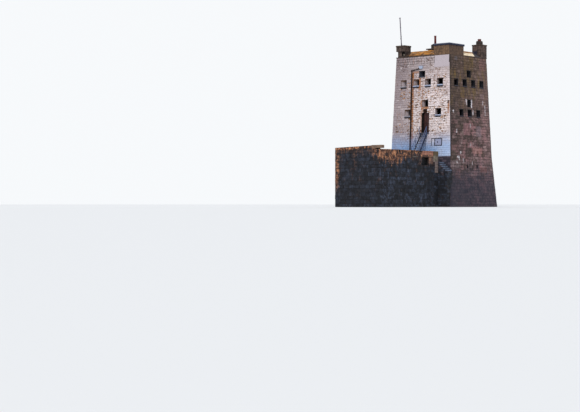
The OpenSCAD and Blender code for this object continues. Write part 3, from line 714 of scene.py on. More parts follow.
@dataclass(frozen=True)
class LichenFinish:
    """Granite slabs of the parapet slope under orange lichen, with a painted highlight on the right side's
    slope.
    """

    orange: Tone = (188, 126, 48)
    brown: Tone = (96, 64, 38)
    stone: Tone = (150, 138, 122)
    pale: Tone = (255, 238, 208)
    shadow: Tone = (36, 36, 50)

    def build(self) -> Material:
        """Makes the material."""
        g = Graph("lichened_slope")
        tint = g.tint()
        grain = g.noise(2.6, 8, 0.72)
        broad = g.noise(1.1, 4, 0.6)
        base = g.mix(grain.rise(0.4, 0.6), self.orange, self.brown)
        base = g.mix(tint.fall(0.02, 0.1, 0.7), base, self.brown)
        base = g.mix(tint.fall(0.2, 0.5, 0.4), base, self.brown)
        base = g.mix(broad.rise(0.52, 0.66) * 0.35, base, self.stone)
        edge = g.axes[2].ragged(grain, 0.5)
        sunlit_right_slope = g.axes[0].rise(2.55, 2.8) * edge.fall(18.06, 18.2)
        mottle = g.noise(2.2, 6, 0.7, (1, 1, 1), (6, 2, 2)).span(0.42, 0.58, 1.0, 0.6)
        sunlit_right_slope = sunlit_right_slope * mottle
        # Painted highlight on the right side's slope.
        base = g.mix(sunlit_right_slope * tint.span(0.0, 0.15, 0.55, 0.95), base, self.pale)
        across, along, up = g.axes
        slant = across + (along + 2.75) * 0.32
        left = slant.fall(-2.45, -2.15, 0.92) * along.fall(-2.6, -2.5)
        slant = along + (across - 2.75)
        right = slant.rise(2.22, 2.44, 0.95) * across.rise(2.5, 2.6)
        # Darker band along the foot of the front slope.
        slope_foot_band = up.fall(17.71, 17.78, 0.85) * along.fall(-3.2, -3.0)
        base = g.mix(slope_foot_band, base, (48, 34, 28))
        # Painted shadows of the flag turret and the chimney turret on the slope beside them.
        base = g.mix(left, base, (40, 32, 30))
        base = g.mix(right, base, self.shadow)
        base = g.mix(up.fall(17.62, 17.68), base, (54, 45, 41))
        height = g.noise(24.0, 6, 0.7) * 0.5 + grain
        return g.finish(base, 0.9, height, 0.03, 0.6)


PLATFORM_SHADES = side_shades(3.2, (
    # The first row is painted shade on the broken face beside the niche, the second a painted highlight
    # along its ledge.
    ((-10.3, -8.9, 5.0, 5.95), (24, 25, 32), 0.6, 0.12),
    ((-10.2, -9.2, 5.63, 5.68), (146, 136, 128), 0.75, 0.03),
    ((-8.3, -6.2, 5.98, 6.30), (184, 128, 110), 0.6, 0.08),
    ((-7.1, -6.5, 5.0, 5.95), (136, 102, 88), 0.5, 0.1),
    ((-8.75, -8.35, 6.2, 6.5), (16, 14, 18), 0.8, 0.05),
    ((-10.55, -10.38, 5.85, 6.5), (18, 14, 16), 0.9, 0.04),
    ((-12.75, -12.5, 6.08, 6.5), (18, 14, 16), 0.9, 0.05),
))


@dataclass(frozen=True)
class SeaStoneFinish:
    """Platform masonry, blackened by the sea, orange with lichen on top and at its outer left corner."""

    black: Tone = (20, 23, 31)
    grey: Tone = (58, 66, 84)
    orange: Tone = (208, 144, 102)
    brown: Tone = (104, 68, 50)
    top_z: float = 6.37
    half_x: float = 3.28

    def build(self) -> Material:
        """Makes the material."""
        g = Graph("sea_stone")
        up = g.axes[2]
        tint = g.tint()
        grain = g.noise(2.4, 8, 0.76)
        coarse = g.noise(1.1, 7, 0.72, (1, 1, 1), (8, 3, 1))
        lit = tint.rise(0.3, 1.0, 0.7) * g.axes[0].span(3.0, 3.2, 0.6, 1.0)
        base = g.mix(lit, self.black, self.grey)
        patches = coarse.fall(0.4, 0.47, 0.34) * g.axes[0].span(3.0, 3.2, 0.25, 1.0)
        base = g.mix(patches, base, (92, 102, 126))
        fall = g.noise(2.6, 7, 0.72, (1.6, 1.6, 0.3), (6, 6, 2))
        base = g.mix(fall.rise(0.5, 0.6, 0.7), base, (20, 22, 30))
        base = g.mix(grain.rise(0.46, 0.6, 0.85), base, (16, 16, 22))
        ruddy = g.noise(1.9, 6, 0.7, (1, 1, 0.8), (3, 3, 8)).rise(0.56, 0.64, 0.4)
        base = g.mix(ruddy * up.span(1.5, 4.5, 0.35, 1.0), base, (96, 68, 56))
        base = g.mix(self.crown(g, grain), base, self.rusty(g, grain))
        base = shaded(g, base, PLATFORM_SHADES)
        base = g.mix(tint.fall(0.02, 0.1, 0.7), base, (20, 18, 20))
        height = g.noise(20.0, 6, 0.7) * 0.4 + grain
        return g.finish(base, grain.span(0.3, 0.7, 0.62, 0.95), height, 0.08, 0.7)

    def rusty(self, g: Graph, grain: Value) -> Value:
        """Colour of the lichen, with dark runs through it.

        Args:
            g: Graph of the material.
            grain: Noise that mottles it.

        Returns:
            The colour.
        """
        tone = g.mix(grain.rise(0.4, 0.54), self.orange, self.brown)
        dark = g.noise(2.4, 7, 0.74, (2.4, 2.4, 0.7), (2, 6, 1)).rise(0.505, 0.545, 0.96)
        return g.mix(dark, tone, self.black)

    def crown(self, g: Graph, grain: Value) -> Value:
        """Mask of the lichened crown, its runs, the outer left corner and the stones round the niche.

        Args:
            g: Graph of the material.
            grain: Noise that breaks its edges.

        Returns:
            The mask.
        """
        across, along, up = g.axes
        lift = across.span(-self.half_x, self.half_x, 0.3, 0.5) * along.fall(-15.3, -15.2)
        level = up - lift
        course = level.rise(self.top_z - 0.42, self.top_z - 0.28)
        runs = g.noise(1.5, 7, 0.72, (2.0, 2.0, 0.45))
        reach = level.ragged(runs, 4.2)
        side = abs(across).span(3.0, 3.2, 0.2, 0.9)
        side = side | across.rise(1.7, 2.4, 0.9)
        reach = reach + along.fall(-12.8, -11.4, 0.7) * across.rise(1.7, 2.4)
        running = reach.rise(5.35, 6.0) * side
        ragged = across.ragged(grain, 0.9)
        left = ragged.fall(-2.9, -2.55, 0.8) * up.rise(1.2, 3.4)
        ragged = along.ragged(grain, 2.0)
        left = left * ragged.fall(-15.2, -14.4)
        niche = along.band(-8.9, -6.3, 0.5) * up.band(4.9, 6.0, 0.4)
        niche = niche * across.rise(3.0, 3.2, 0.25)
        total = course | running | (left | niche)
        return total * g.tint().span(0.0, 0.3, 0.4, 0.95)


# Painted shade at the foot of the chimney turret's front, on the flag turret's side above the slope and in
# its niche.
TURRET_PAINTED_SHADE = (
    Shade((2.4, 2.5, 17.4), (3.2, 2.75, 18.4), (30, 34, 54), 0.85, 0.15),
    Shade((-2.72, -3.9, 17.4), (-2.5, -2.5, 18.3), (44, 34, 32), 0.75, 0.08),
    Shade((-3.1, -3.79, 17.8), (-2.66, -3.0, 18.3), (20, 15, 15), 0.95, 0.02),
)
PIER_SHADES = (
    Shade((2.4, -7.0, 5.95), (3.7, -3.8, 7.0), (86, 70, 46), 0.8, 0.05),
    Shade((2.4, -7.0, 4.0), (3.7, -3.8, 5.15), (124, 106, 108), 0.6, 0.15),
)
# Painted shade on the upper treads, by the door.
TREAD_PAINTED_SHADE = (Shade((-1.0, -9.0, 7.6), (3.0, 0.0, 9.0), (50, 48, 58), 0.85, 0.5),)
# Painted shade on the left handrail, which has the same paint as the right one.
RAIL_PAINTED_SHADE = (Shade((-1.0, -9.0, 4.0), (0.3, 0.0, 12.0), (44, 56, 88), 0.85, 0.1),)
# Painted shade on the guardhouse's right side.
GUARDHOUSE_SIDE_SHADE = side_shades(3.74, [((-9.0, 9.0, 16.0, 20.0), (64, 52, 50), 0.5, 0.02)])
# Painted shade on the roof slabs below their top face.
ROOF_EDGE_SHADE = (Shade((-9.0, -9.0, 18.0), (9.0, 9.0, 18.86), (30, 34, 56), 0.95, 0.015),)


@dataclass(frozen=True)
class DressedStone:
    """Cut stone in one tone, mottled, streaked and shaded in places."""

    name: str
    light: Tone
    dark: Tone
    stain: Tone
    stain_share: float
    shades: tuple[Shade, ...] = ()
    roughness: float = 0.88

    def build(self) -> Material:
        """Makes the material."""
        g = Graph(self.name)
        tint = g.tint()
        grain = g.noise(3.2, 8, 0.72)
        base = g.mix(grain.rise(0.38, 0.62), self.light, self.dark)
        base = g.mix(tint.fall(0.02, 0.5, 0.45), base, self.dark)
        runs = g.noise(2.0, 6, 0.65, (2.2, 2.2, 0.3))
        base = g.mix(runs.rise(0.48, 0.64) * self.stain_share, base, self.stain)
        base = shaded(g, base, self.shades)
        height = g.noise(28.0, 5, 0.7) * 0.5 + grain
        return g.finish(base, self.roughness, height, 0.03, 0.55)


@dataclass(frozen=True)
class SillFinish:
    """Sill stone, painted blue-white on the front and bare elsewhere."""

    paint: Tone = (172, 182, 208)
    dull: Tone = (150, 146, 154)
    bare: Tone = (54, 52, 62)
    under: Tone = (38, 36, 46)
    front_y: float = -3.9

    def build(self) -> Material:
        """Makes the material."""
        g = Graph("painted_sill")
        grain = g.noise(4.0, 7, 0.7)
        front = g.axes[1].fall(self.front_y - 0.02, self.front_y + 0.02)
        across, up = g.axes[0], g.axes[2]
        base = g.mix(front, self.bare, g.mix(across.rise(-1.7, -1.5), self.dull, self.paint))
        base = g.mix(grain.rise(0.5, 0.64, 0.6), base, (74, 66, 70))
        # Painted shade on the lower part of the front loopholes' sill noses.
        for foot in (FRONT_LOOPS[0].z, FRONT_LOOPS[-1].z):
            lower = up.band(foot - 0.05, foot + 0.095, 0.01) * front
            base = g.mix(lower * 0.92, base, self.under)
        # Painted shade on the high window's sill.
        high = up.band(FRONT_HIGH.z - 0.05, FRONT_HIGH.z + 0.15, 0.01) * front
        base = g.mix(high, base, (48, 50, 62))
        # Painted shade on the door threshold, at the top of the stair.
        tread = up.band(8.35, 8.75, 0.02) * front
        base = g.mix(tread * 0.85, base, (62, 58, 66))
        return g.finish(base, 0.85, grain, 0.012, 0.5)


@dataclass(frozen=True)
class PaintedIron:
    """Old paint over iron that rusts through."""

    name: str
    paint: Tone
    rust: Tone
    rust_share: float
    roughness: float = 0.55
    shades: tuple[Shade, ...] = ()

    def build(self) -> Material:
        """Makes the material."""
        g = Graph(self.name)
        coarse = g.noise(7.0, 7, 0.7)
        fine = g.noise(60.0, 4, 0.6)
        edge = 0.5 + 0.25 * (1.0 - self.rust_share) - 0.08
        rusted = coarse.rise(edge, edge + 0.1)
        dim = (*(0.72 * channel for channel in linear(self.paint)[:3]), 1.0)
        shade = g.mix(fine.rise(0.3, 0.7), self.paint, dim)
        rusty = g.mix(fine.rise(0.35, 0.65), self.rust, (70, 38, 28))
        base = shaded(g, g.mix(rusted, shade, rusty), self.shades)
        height = rusted * 0.6 + fine * 0.3
        return g.finish(base, rusted.span(0.0, 1.0, self.roughness, 0.9), height, 0.003, 0.7)


@dataclass(frozen=True)
class BoardFinish:
    """Painted boards with grain, with painted shade at the sides by the jambs, and darker towards the foot.
    """

    paint: Tone = (70, 34, 32)
    worn: Tone = (96, 58, 50)
    dark: Tone = (26, 13, 14)

    def build(self) -> Material:
        """Makes the material."""
        g = Graph("door_boards")
        tint = g.tint()
        grain = g.noise(9.0, 6, 0.65, (6.0, 6.0, 0.35), (0, 0, 0), 0.4)
        base = g.mix(grain.rise(0.35, 0.68), self.dark, self.paint)
        base = g.mix(tint.rise(0.0, 1.0, 0.3), base, self.worn)
        wear = g.noise(6.0, 6, 0.7).rise(0.52, 0.66) * 0.5
        base = g.mix(wear * g.axes[2].span(8.7, 9.6, 0.35, 1.0), base, self.worn)
        # Painted shade at the sides by the jambs, and darker towards the foot.
        jamb_shade = g.axes[0].band(0.24, 0.98, 0.06).fall(0.0, 1.0, 0.85)
        foot = g.axes[2].fall(9.1, 9.9, 0.55)
        base = g.mix(jamb_shade | foot, base, self.dark)
        return g.finish(base, 0.62, grain, 0.004, 0.6)


@dataclass(frozen=True)
class ClayFinish:
    """Unglazed chimney clay, sooty at the lip."""

    clay: Tone = (104, 36, 34)
    soot: Tone = (36, 20, 22)

    def build(self) -> Material:
        """Makes the material."""
        g = Graph("fired_clay")
        grain = g.noise(12.0, 6, 0.7)
        base = g.mix(grain.rise(0.3, 0.7), self.clay, (92, 34, 32))
        base = g.mix(g.noise(3.0, 5, 0.6).rise(0.45, 0.65) * 0.6, base, self.soot)
        return g.finish(base, 0.8, grain, 0.004, 0.6)


class Palette:
    """Every finish of the tower, made once."""

    def __init__(self) -> None:
        """Builds the materials."""
        self.whitewash = WhitewashFinish().build()
        self.granite = GraniteFinish().build()
        self.lichen = LichenFinish().build()
        self.sea_stone = SeaStoneFinish().build()
        self.turret = DressedStone(
            "turret_stone", (100, 82, 74), (50, 39, 35), (36, 29, 29), 0.7, TURRET_PAINTED_SHADE
        ).build()
        self.cap = DressedStone("turret_cap", (96, 80, 68), (58, 45, 38), (40, 31, 29), 0.6).build()
        self.guardhouse = DressedStone(
            "guardhouse_render", (124, 96, 72), (84, 64, 50), (52, 44, 40), 0.35, GUARDHOUSE_SIDE_SHADE
        ).build()
        self.roof = DressedStone(
            "guardhouse_slab", (112, 118, 134), (84, 90, 104), (72, 72, 80), 0.35, ROOF_EDGE_SHADE
        ).build()
        self.olive = DressedStone(
            "olive_granite", (136, 124, 108), (92, 84, 76), (66, 60, 58), 0.35, PIER_SHADES
        ).build()
        self.steps = DressedStone("step_stone", (118, 130, 156), (76, 84, 102), (48, 50, 62), 0.35).build()
        self.corner = DressedStone("corner_stone", (150, 122, 98), (98, 78, 66), (62, 54, 52), 0.45).build()
        self.capstone = DressedStone("cap_stone", (136, 104, 80), (76, 62, 56), (44, 42, 48), 0.5).build()
        self.paving = DressedStone("paving_stone", (110, 104, 104), (68, 66, 70), (52, 50, 56), 0.4).build()
        self.deck = DressedStone("deck_stone", (132, 124, 114), (96, 90, 84), (70, 64, 58), 0.35).build()
        self.sill = SillFinish().build()
        self.stack = DressedStone("stack_stone", (82, 70, 62), (48, 40, 37), (34, 29, 28), 0.6).build()
        self.downpipe = PaintedIron("rusty_downpipe", (34, 14, 12), (100, 48, 26), 0.35, 0.75).build()
        self.hopper = PaintedIron("painted_hopper", (180, 192, 216), (128, 92, 74), 0.35).build()
        self.stair = PaintedIron(
            "stair_paint", (92, 108, 148), (60, 46, 46), 0.3, shades=RAIL_PAINTED_SHADE
        ).build()
        self.stringer = PaintedIron("stringer_paint", (48, 58, 84), (50, 38, 38), 0.35).build()
        self.tread = PaintedIron(
            "tread_plate", (134, 142, 160), (104, 86, 76), 0.45, shades=TREAD_PAINTED_SHADE
        ).build()
        self.hatch = PaintedIron("hatch_paint", (36, 32, 42), (92, 62, 50), 0.3).build()
        self.panel = PaintedIron("panel_paint", (160, 166, 196), (116, 100, 98), 0.25).build()
        self.iron = PaintedIron("black_iron", (34, 32, 34), (88, 52, 36), 0.4).build()
        self.pole = PaintedIron("pole_paint", (112, 104, 116), (104, 78, 64), 0.35).build()
        self.boards = BoardFinish().build()
        self.clay = ClayFinish().build()


# Mesh helpers


def make_piece(
    bm: Mesh,
    name: str,
    material: Material,
    body: str = BODY,
    replaces: Sequence[str] = (),
    smooth: bool = False,
) -> None:
    """Turns a bmesh into a piece that rides on a body.

    Args:
        bm: Finished mesh, which is freed.
        name: Name of the piece.
        material: Its finish.
        body: Body that carries it.
        replaces: Frame nodes that it stands for.
        smooth: Whether its faces are shaded smooth across shallow edges.
    """
    mesh = bpy.data.meshes.new(name)
    bm.to_mesh(mesh)
    bm.free()
    if smooth:
        mesh.shade_smooth()
        mesh.set_sharp_from_angle(angle=SMOOTH_ANGLE)
    mesh.materials.append(material)
    piece = bpy.data.objects.new(name, mesh)
    bpy.context.scene.collection.objects.link(piece)
    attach(piece, body)
    if replaces:
        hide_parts(*replaces)
    LOG.info("%s: %d faces", name, len(mesh.polygons))


def soften(bm: Mesh, edges: Iterable[bmesh.types.BMEdge], width: float, steps: int = 2) -> None:
    """Bevels edges with the settings of the editor.

    Args:
        bm: Mesh that holds them.
        edges: Edges to bevel.
        width: Width of the bevel.
        steps: Steps of the bevel.
    """
    bmesh.ops.bevel(
        bm, geom=list(edges), offset=width, offset_type="OFFSET", segments=steps, profile=0.5,
        affect="EDGES", material=-1, clamp_overlap=True,
    )


def add_block(
    bm: Mesh, low: Sequence[float], high: Sequence[float], width: float = 0.0, steps: int = 2
) -> None:
    """Adds a block with softened edges.

    Args:
        bm: Mesh that takes the block.
        low: Its lowest corner.
        high: Its highest corner.
        width: Width of the bevel.
        steps: Steps of the bevel.
    """
    size = [high[i] - low[i] for i in range(3)]
    middle = [(high[i] + low[i]) / 2 for i in range(3)]
    matrix = Matrix.Translation(middle) @ Matrix.Diagonal((*size, 1.0))
    verts = bmesh.ops.create_cube(bm, size=1.0, matrix=matrix)["verts"]
    if width:
        soften(bm, {edge for vert in verts for edge in vert.link_edges}, width, steps)


def add_solid(
    bm: Mesh, ring: Sequence[Vector], cap: Sequence[Vector], width: float = 0.0, steps: int = 2
) -> None:
    """Adds a solid between two outlines with as many points.

    Args:
        bm: Mesh that takes the solid.
        ring: Points of the lower outline.
        cap: Points of the upper outline, in the same order.
        width: Width of the bevel.
        steps: Steps of the bevel.
    """
    low = [bm.verts.new(point) for point in ring]
    high = [bm.verts.new(point) for point in cap]
    faces = [bm.faces.new(list(reversed(low))), bm.faces.new(high)]
    count = len(low)
    for i in range(count):
        j = (i + 1) % count
        faces.append(bm.faces.new((low[i], low[j], high[j], high[i])))
    bmesh.ops.recalc_face_normals(bm, faces=faces)
    if width:
        soften(bm, {edge for face in faces for edge in face.edges}, width, steps)


def add_bar(bm: Mesh, start: Vector, end: Vector, radius: float, sides: int = 20) -> None:
    """Adds a round bar between two points.

    Args:
        bm: Mesh that takes the bar.
        start: Middle of one end.
        end: Middle of the other end.
        radius: Its radius.
        sides: Number of its faces round.
    """
    way = end - start
    turn = way.to_track_quat("Z", "Y").to_matrix().to_4x4()
    bmesh.ops.create_cone(
        bm, cap_ends=True, segments=sides, radius1=radius, radius2=radius, depth=way.length,
        matrix=Matrix.Translation((start + end) / 2) @ turn,
    )


def add_on_face(
    bm: Mesh, panel: "Panel", rect: Rect, inside: float, outside: float, width: float = 0.0
) -> None:
    """Adds a block that follows a face.

    Args:
        bm: Mesh that takes the block.
        panel: Face that carries it.
        rect: Lowest u, highest u, lowest v and highest v.
        inside: Distance of its back before the face.
        outside: Distance of its front before the face.
        width: Width of the bevel.
    """
    left, right, foot, head = rect
    outline = ((left, foot), (right, foot), (right, head), (left, head))
    back = [panel.point(u, v, inside) for u, v in outline]
    front = [panel.point(u, v, outside) for u, v in outline]
    add_solid(bm, back, front, width)


def dress(material: Material, *nodes: str) -> None:
    """Gives a finish to frame nodes.

    Args:
        material: The finish.
        *nodes: Names of the nodes.
    """
    for name in nodes:
        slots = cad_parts[name].data.materials
        slots.clear()
        slots.append(material)


# Masonry


STONE_SINK = 0.02
LEAST_LENGTH = 0.03
LEAST_HEIGHT = 0.015
LEAST_RUN = 0.04
LEAST_COURSE = 0.03


def turned(side: Side, place: Vector) -> Vector:
    """A place on the front, taken to the same place on another side."""
    return Matrix.Rotation(math.pi / 2 * side, 3, "Z") @ place


class Panel:
    """A flat face that stones are laid on, measured across (u) and up (v)."""

    def point(self, u: float, v: float, out: float) -> Vector:
        """Place of a point, at u and v and some way out before the face."""
        raise NotImplementedError

    def limits(self, v: float) -> Pair:
        """Ends of the face at a height."""
        raise NotImplementedError


@dataclass(frozen=True)
class TowerFace(Panel):
    """One leaning side of the tower, whose v is the height over the ground."""

    side: Side
    grow: float = 0.0

    def point(self, u: float, v: float, out: float) -> Vector:
        """Place of a point on the side."""
        return turned(self.side, Vector((u, -TOWER.half_at(v) - out, v)))

    def limits(self, v: float) -> Pair:
        """Ends of the side at a height."""
        half = TOWER.half_at(v) + self.grow
        return -half, half


@dataclass(frozen=True)
class SlopeFace(Panel):
    """One side of the parapet's slope, whose v runs from 0 at its foot to 1 at its crest."""

    side: Side

    def point(self, u: float, v: float, out: float) -> Vector:
        """Place of a point on the slope.

        Args:
            u: Distance across from its middle.
            v: Share of the way up.
            out: Distance before the face.

        Returns:
            The place.
        """
        foot = TOWER.head_half + TOWER.coping_out
        rise, run = TOWER.crest_z - TOWER.slope_z, foot - TOWER.crest_half
        normal = Vector((0.0, -rise, run)).normalized()
        return turned(self.side, Vector((u, -foot + run * v, TOWER.slope_z + rise * v)) + normal * out)

    def limits(self, v: float) -> Pair:
        """Ends of the slope at a height."""
        foot = TOWER.head_half + TOWER.coping_out
        half = foot + (TOWER.crest_half - foot) * v
        return -half, half


@dataclass(frozen=True)
class FlatFace(Panel):
    """A rectangle given by a corner and two directions; out is across and up turned right-handed."""

    corner: Point
    across: Point
    up: Point
    width: float

    def point(self, u: float, v: float, out: float) -> Vector:
        """Place of a point on the rectangle."""
        across, up = Vector(self.across), Vector(self.up)
        return Vector(self.corner) + across * u + up * v + across.cross(up) * out

    def limits(self, v: float) -> Pair:
        """Ends of the rectangle."""
        return 0.0, self.width


@dataclass(frozen=True)
class UprightFace(Panel):
    """An upright band at one distance from the tower's axis, whose v is the height over the ground."""

    side: Side
    reach: float
    low: float
    high: float

    def point(self, u: float, v: float, out: float) -> Vector:
        """Place of a point on the band."""
        return turned(self.side, Vector((u, -self.reach - out, v)))

    def limits(self, v: float) -> Pair:
        """Ends of the band."""
        return self.low, self.high


@dataclass(frozen=True)
class RisingFace(Panel):
    """The platform's front, whose top rises to the right; v is the height at its left end."""

    half: float
    front_y: float
    level_z: float
    top_z: float
    rise: float

    def point(self, u: float, v: float, out: float) -> Vector:
        """Place of a point on the front."""
        share = max(0.0, v - self.level_z) / (self.top_z - self.level_z)
        return Vector((u - self.half, self.front_y - out, v + share * self.rise * u / (2 * self.half)))

    def limits(self, v: float) -> Pair:
        """Ends of the front."""
        return 0.0, 2 * self.half


def upright(x: float, y: float, side: Side, length: float) -> FlatFace:
    """A plumb face that looks to one side, from its left end; v is the height over the ground."""
    across = ((1, 0, 0), (0, 1, 0), (-1, 0, 0), (0, -1, 0))[side]
    return FlatFace((x, y, 0.0), across, (0, 0, 1), length)


def flat_top(corner: Point, length: float, along_y: bool = False) -> FlatFace:
    """A level face that looks up, whose u runs along X, or along Y with v towards -X."""
    across, up = ((0, 1, 0), (-1, 0, 0)) if along_y else ((1, 0, 0), (0, 1, 0))
    return FlatFace(corner, across, up, length)


@dataclass(frozen=True)
class Coursing:
    """Sizes of the stones in a piece of walling."""

    height: float
    length: float
    joint: float
    proud: Pair
    wobble: float
    bevel: float
    quoin: float


@dataclass
class Masonry:
    """Lays courses of stones on panels and builds them as one piece."""

    coursing: Coursing
    seed: int
    stones: list[tuple[Panel, Rect, float, float]] = field(default_factory=list)

    def __post_init__(self) -> None:
        """Starts the seeded dice."""
        self.dice = random.Random(self.seed)

    def levels(self, low: float, high: float, stops: Iterable[float]) -> list[float]:
        """Heights of the bed joints, with one at each stop.

        Args:
            low: Foot of the wall.
            high: Head of the wall.
            stops: Heights where a course has to begin or end.

        Returns:
            The joints from the foot up.
        """
        marks = sorted({low, high, *(s for s in stops if low < s < high)})
        joints = [low]
        for foot, head in zip(marks, marks[1:]):
            if head - foot < LEAST_COURSE:
                continue
            count = max(1, round((head - foot) / self.coursing.height))
            shares = [self.dice.uniform(0.8, 1.2) for _ in range(count)]
            total, level = sum(shares), foot
            for share in shares:
                level += (head - foot) * share / total
                joints.append(level)
        return joints

    def runs(self, low: float, high: float, gaps: Iterable[Pair]) -> Iterator[Pair]:
        """Stretches between two ends that no gap covers.

        Args:
            low: Lower end.
            high: Upper end.
            gaps: Ends of the gaps.

        Yields:
            The ends of each stretch.
        """
        start = low
        for gap_low, gap_high in sorted(gaps):
            if gap_low > start + LEAST_RUN:
                yield start, min(gap_low, high)
            start = max(start, gap_high)
        if high > start + LEAST_RUN:
            yield start, high

    def split(self, low: float, high: float, course: int) -> list[float]:
        """Upright joints of one stretch, with long and short stones in turn at its ends.

        Args:
            low: Lower end.
            high: Upper end.
            course: Number of the course, which is long at its ends when odd.

        Returns:
            The joints, with both ends.
        """
        length, c = high - low, self.coursing
        first = c.quoin if course % 2 else c.quoin * 0.55
        if length < first * 2 + c.length:
            count = max(1, round(length / c.length))
            inner, ends = (low, high), []
        else:
            inner, ends = (low + first, high - first), [low, high]
            count = max(1, round((inner[1] - inner[0]) / c.length))
        shares = [self.dice.uniform(0.55, 1.45) for _ in range(count)]
        place, joints = inner[0], [inner[0]]
        for share in shares:
            place += (inner[1] - inner[0]) * share / sum(shares)
            joints.append(place)
        return sorted(set(joints + ends))

    def lay(
        self,
        panel: Panel,
        low: float,
        high: float,
        openings: Sequence[Rect] = (),
        bonds: Sequence[tuple[Rect, float]] = (),
        joints: Sequence[float] | None = None,
        start_long: bool = False,
    ) -> None:
        """Lays courses on a panel.

        Args:
            panel: Face that takes the stones.
            low: Lowest v.
            high: Highest v.
            openings: Rectangles left free, as lowest u, highest u, lowest v and highest v.
            bonds: Rectangles that hold one stone each, with its share of tint.
            joints: Heights of the bed joints, or None for new ones.
            start_long: Whether the lowest course has the long stones at its ends.
        """
        shut = [*openings, *(rect for rect, _ in bonds)]
        stops = [level for rect in shut for level in rect[2:]]
        if joints is None:
            joints = self.levels(low, high, stops)
        for course, (foot, head) in enumerate(zip(joints, joints[1:]), int(start_long)):
            middle = (foot + head) / 2
            gaps = [(r[0], r[1]) for r in shut if r[2] - 0.02 < middle < r[3] + 0.02]
            start, end = panel.limits(middle)
            for run_low, run_high in self.runs(start, end, gaps):
                marks = self.split(run_low, run_high, course)
                for left, right in zip(marks, marks[1:]):
                    self.set_stone(panel, (left, right, foot, head))
        for rect, tint in bonds:
            self.set_stone(panel, rect, tint)

    def set_stone(
        self, panel: Panel, rect: Rect, tint: float | None = None, proud: float | None = None
    ) -> None:
        """Adds one stone.

        Args:
            panel: Face that takes it.
            rect: Lowest u, highest u, lowest v and highest v.
            tint: Its own tint, or None for a random one.
            proud: How far it stands out, or None for a random distance.
        """
        if tint is None:
            tint = self.dice.uniform(0.2, 1.0)
        if proud is None:
            proud = self.dice.uniform(*self.coursing.proud)
        # One more number is drawn for each stone and not used; the later draws, and so the stones, depend
        # on it.
        self.dice.random()
        self.stones.append((panel, rect, tint, proud))

    def build(self, name: str, material: Material, slot: str) -> None:
        """Extrudes and softens every stone.

        Args:
            name: Name of the piece.
            material: Its finish.
            slot: Name of a material slot; not used.
        """
        c = self.coursing
        bm = bmesh.new()
        tint_layer = bm.faces.layers.float.new("tint")
        moves: list[Vector] = []
        for panel, rect, tint, proud in self.stones:
            gap = c.joint / 2
            left, right, foot, head = rect[0] + gap, rect[1] - gap, rect[2] + gap, rect[3] - gap
            if right - left < LEAST_LENGTH or head - foot < LEAST_HEIGHT:
                continue
            slack = min(c.wobble, (right - left) / 8, (head - foot) / 8)
            corners = []
            for u, v in ((left, foot), (right, foot), (right, head), (left, head)):
                u += self.dice.uniform(-slack, slack)
                v += self.dice.uniform(-slack, slack)
                corners.append(bm.verts.new(panel.point(u, v, -STONE_SINK)))
            face = bm.faces.new(corners)
            face[tint_layer] = tint
            u, v = (left + right) / 2, (foot + head) / 2
            moves.append(panel.point(u, v, proud) - panel.point(u, v, -STONE_SINK))
        grown = bmesh.ops.extrude_face_region(bm, geom=list(bm.faces), use_keep_orig=True)["geom"]
        fronts = [item for item in grown if isinstance(item, bmesh.types.BMFace)]
        for face, move in zip(fronts, moves):
            bmesh.ops.translate(bm, vec=move, verts=face.verts)
        bmesh.ops.recalc_face_normals(bm, faces=bm.faces)
        rims = {edge for face in fronts for edge in face.edges}
        soften(bm, rims, c.bevel)
        make_piece(bm, name, material)


def lay_box(
    wall: Masonry,
    low: Point,
    high: Point,
    openings: dict[Side, Sequence[Rect]] | None = None,
    sides: Iterable[Side] = tuple(Side),
    top: bool = False,
) -> None:
    """Lays the upright faces of a block in courses that meet at its corners.

    Args:
        wall: Masonry that takes the stones.
        low: Lowest corner.
        high: Highest corner.
        openings: Rectangles left free on each side.
        sides: Sides that are laid.
        top: Whether its top is laid too.
    """
    (x0, y0, z0), (x1, y1, z1) = low, high
    starts = ((x0, y0), (x1, y0), (x1, y1), (x0, y1))
    lengths = (x1 - x0, y1 - y0) * 2
    free = openings or {}
    stops = [level for rects in free.values() for rect in rects for level in rect[2:]]
    joints = wall.levels(z0, z1, stops)
    for side in sides:
        face = upright(*starts[side], side, lengths[side])
        wall.lay(face, z0, z1, free.get(side, ()), joints=joints, start_long=side % 2 == 0)
    if top:
        wall.lay(flat_top((x0, y0, z1), x1 - x0), 0.0, y1 - y0)


# The tower's parts


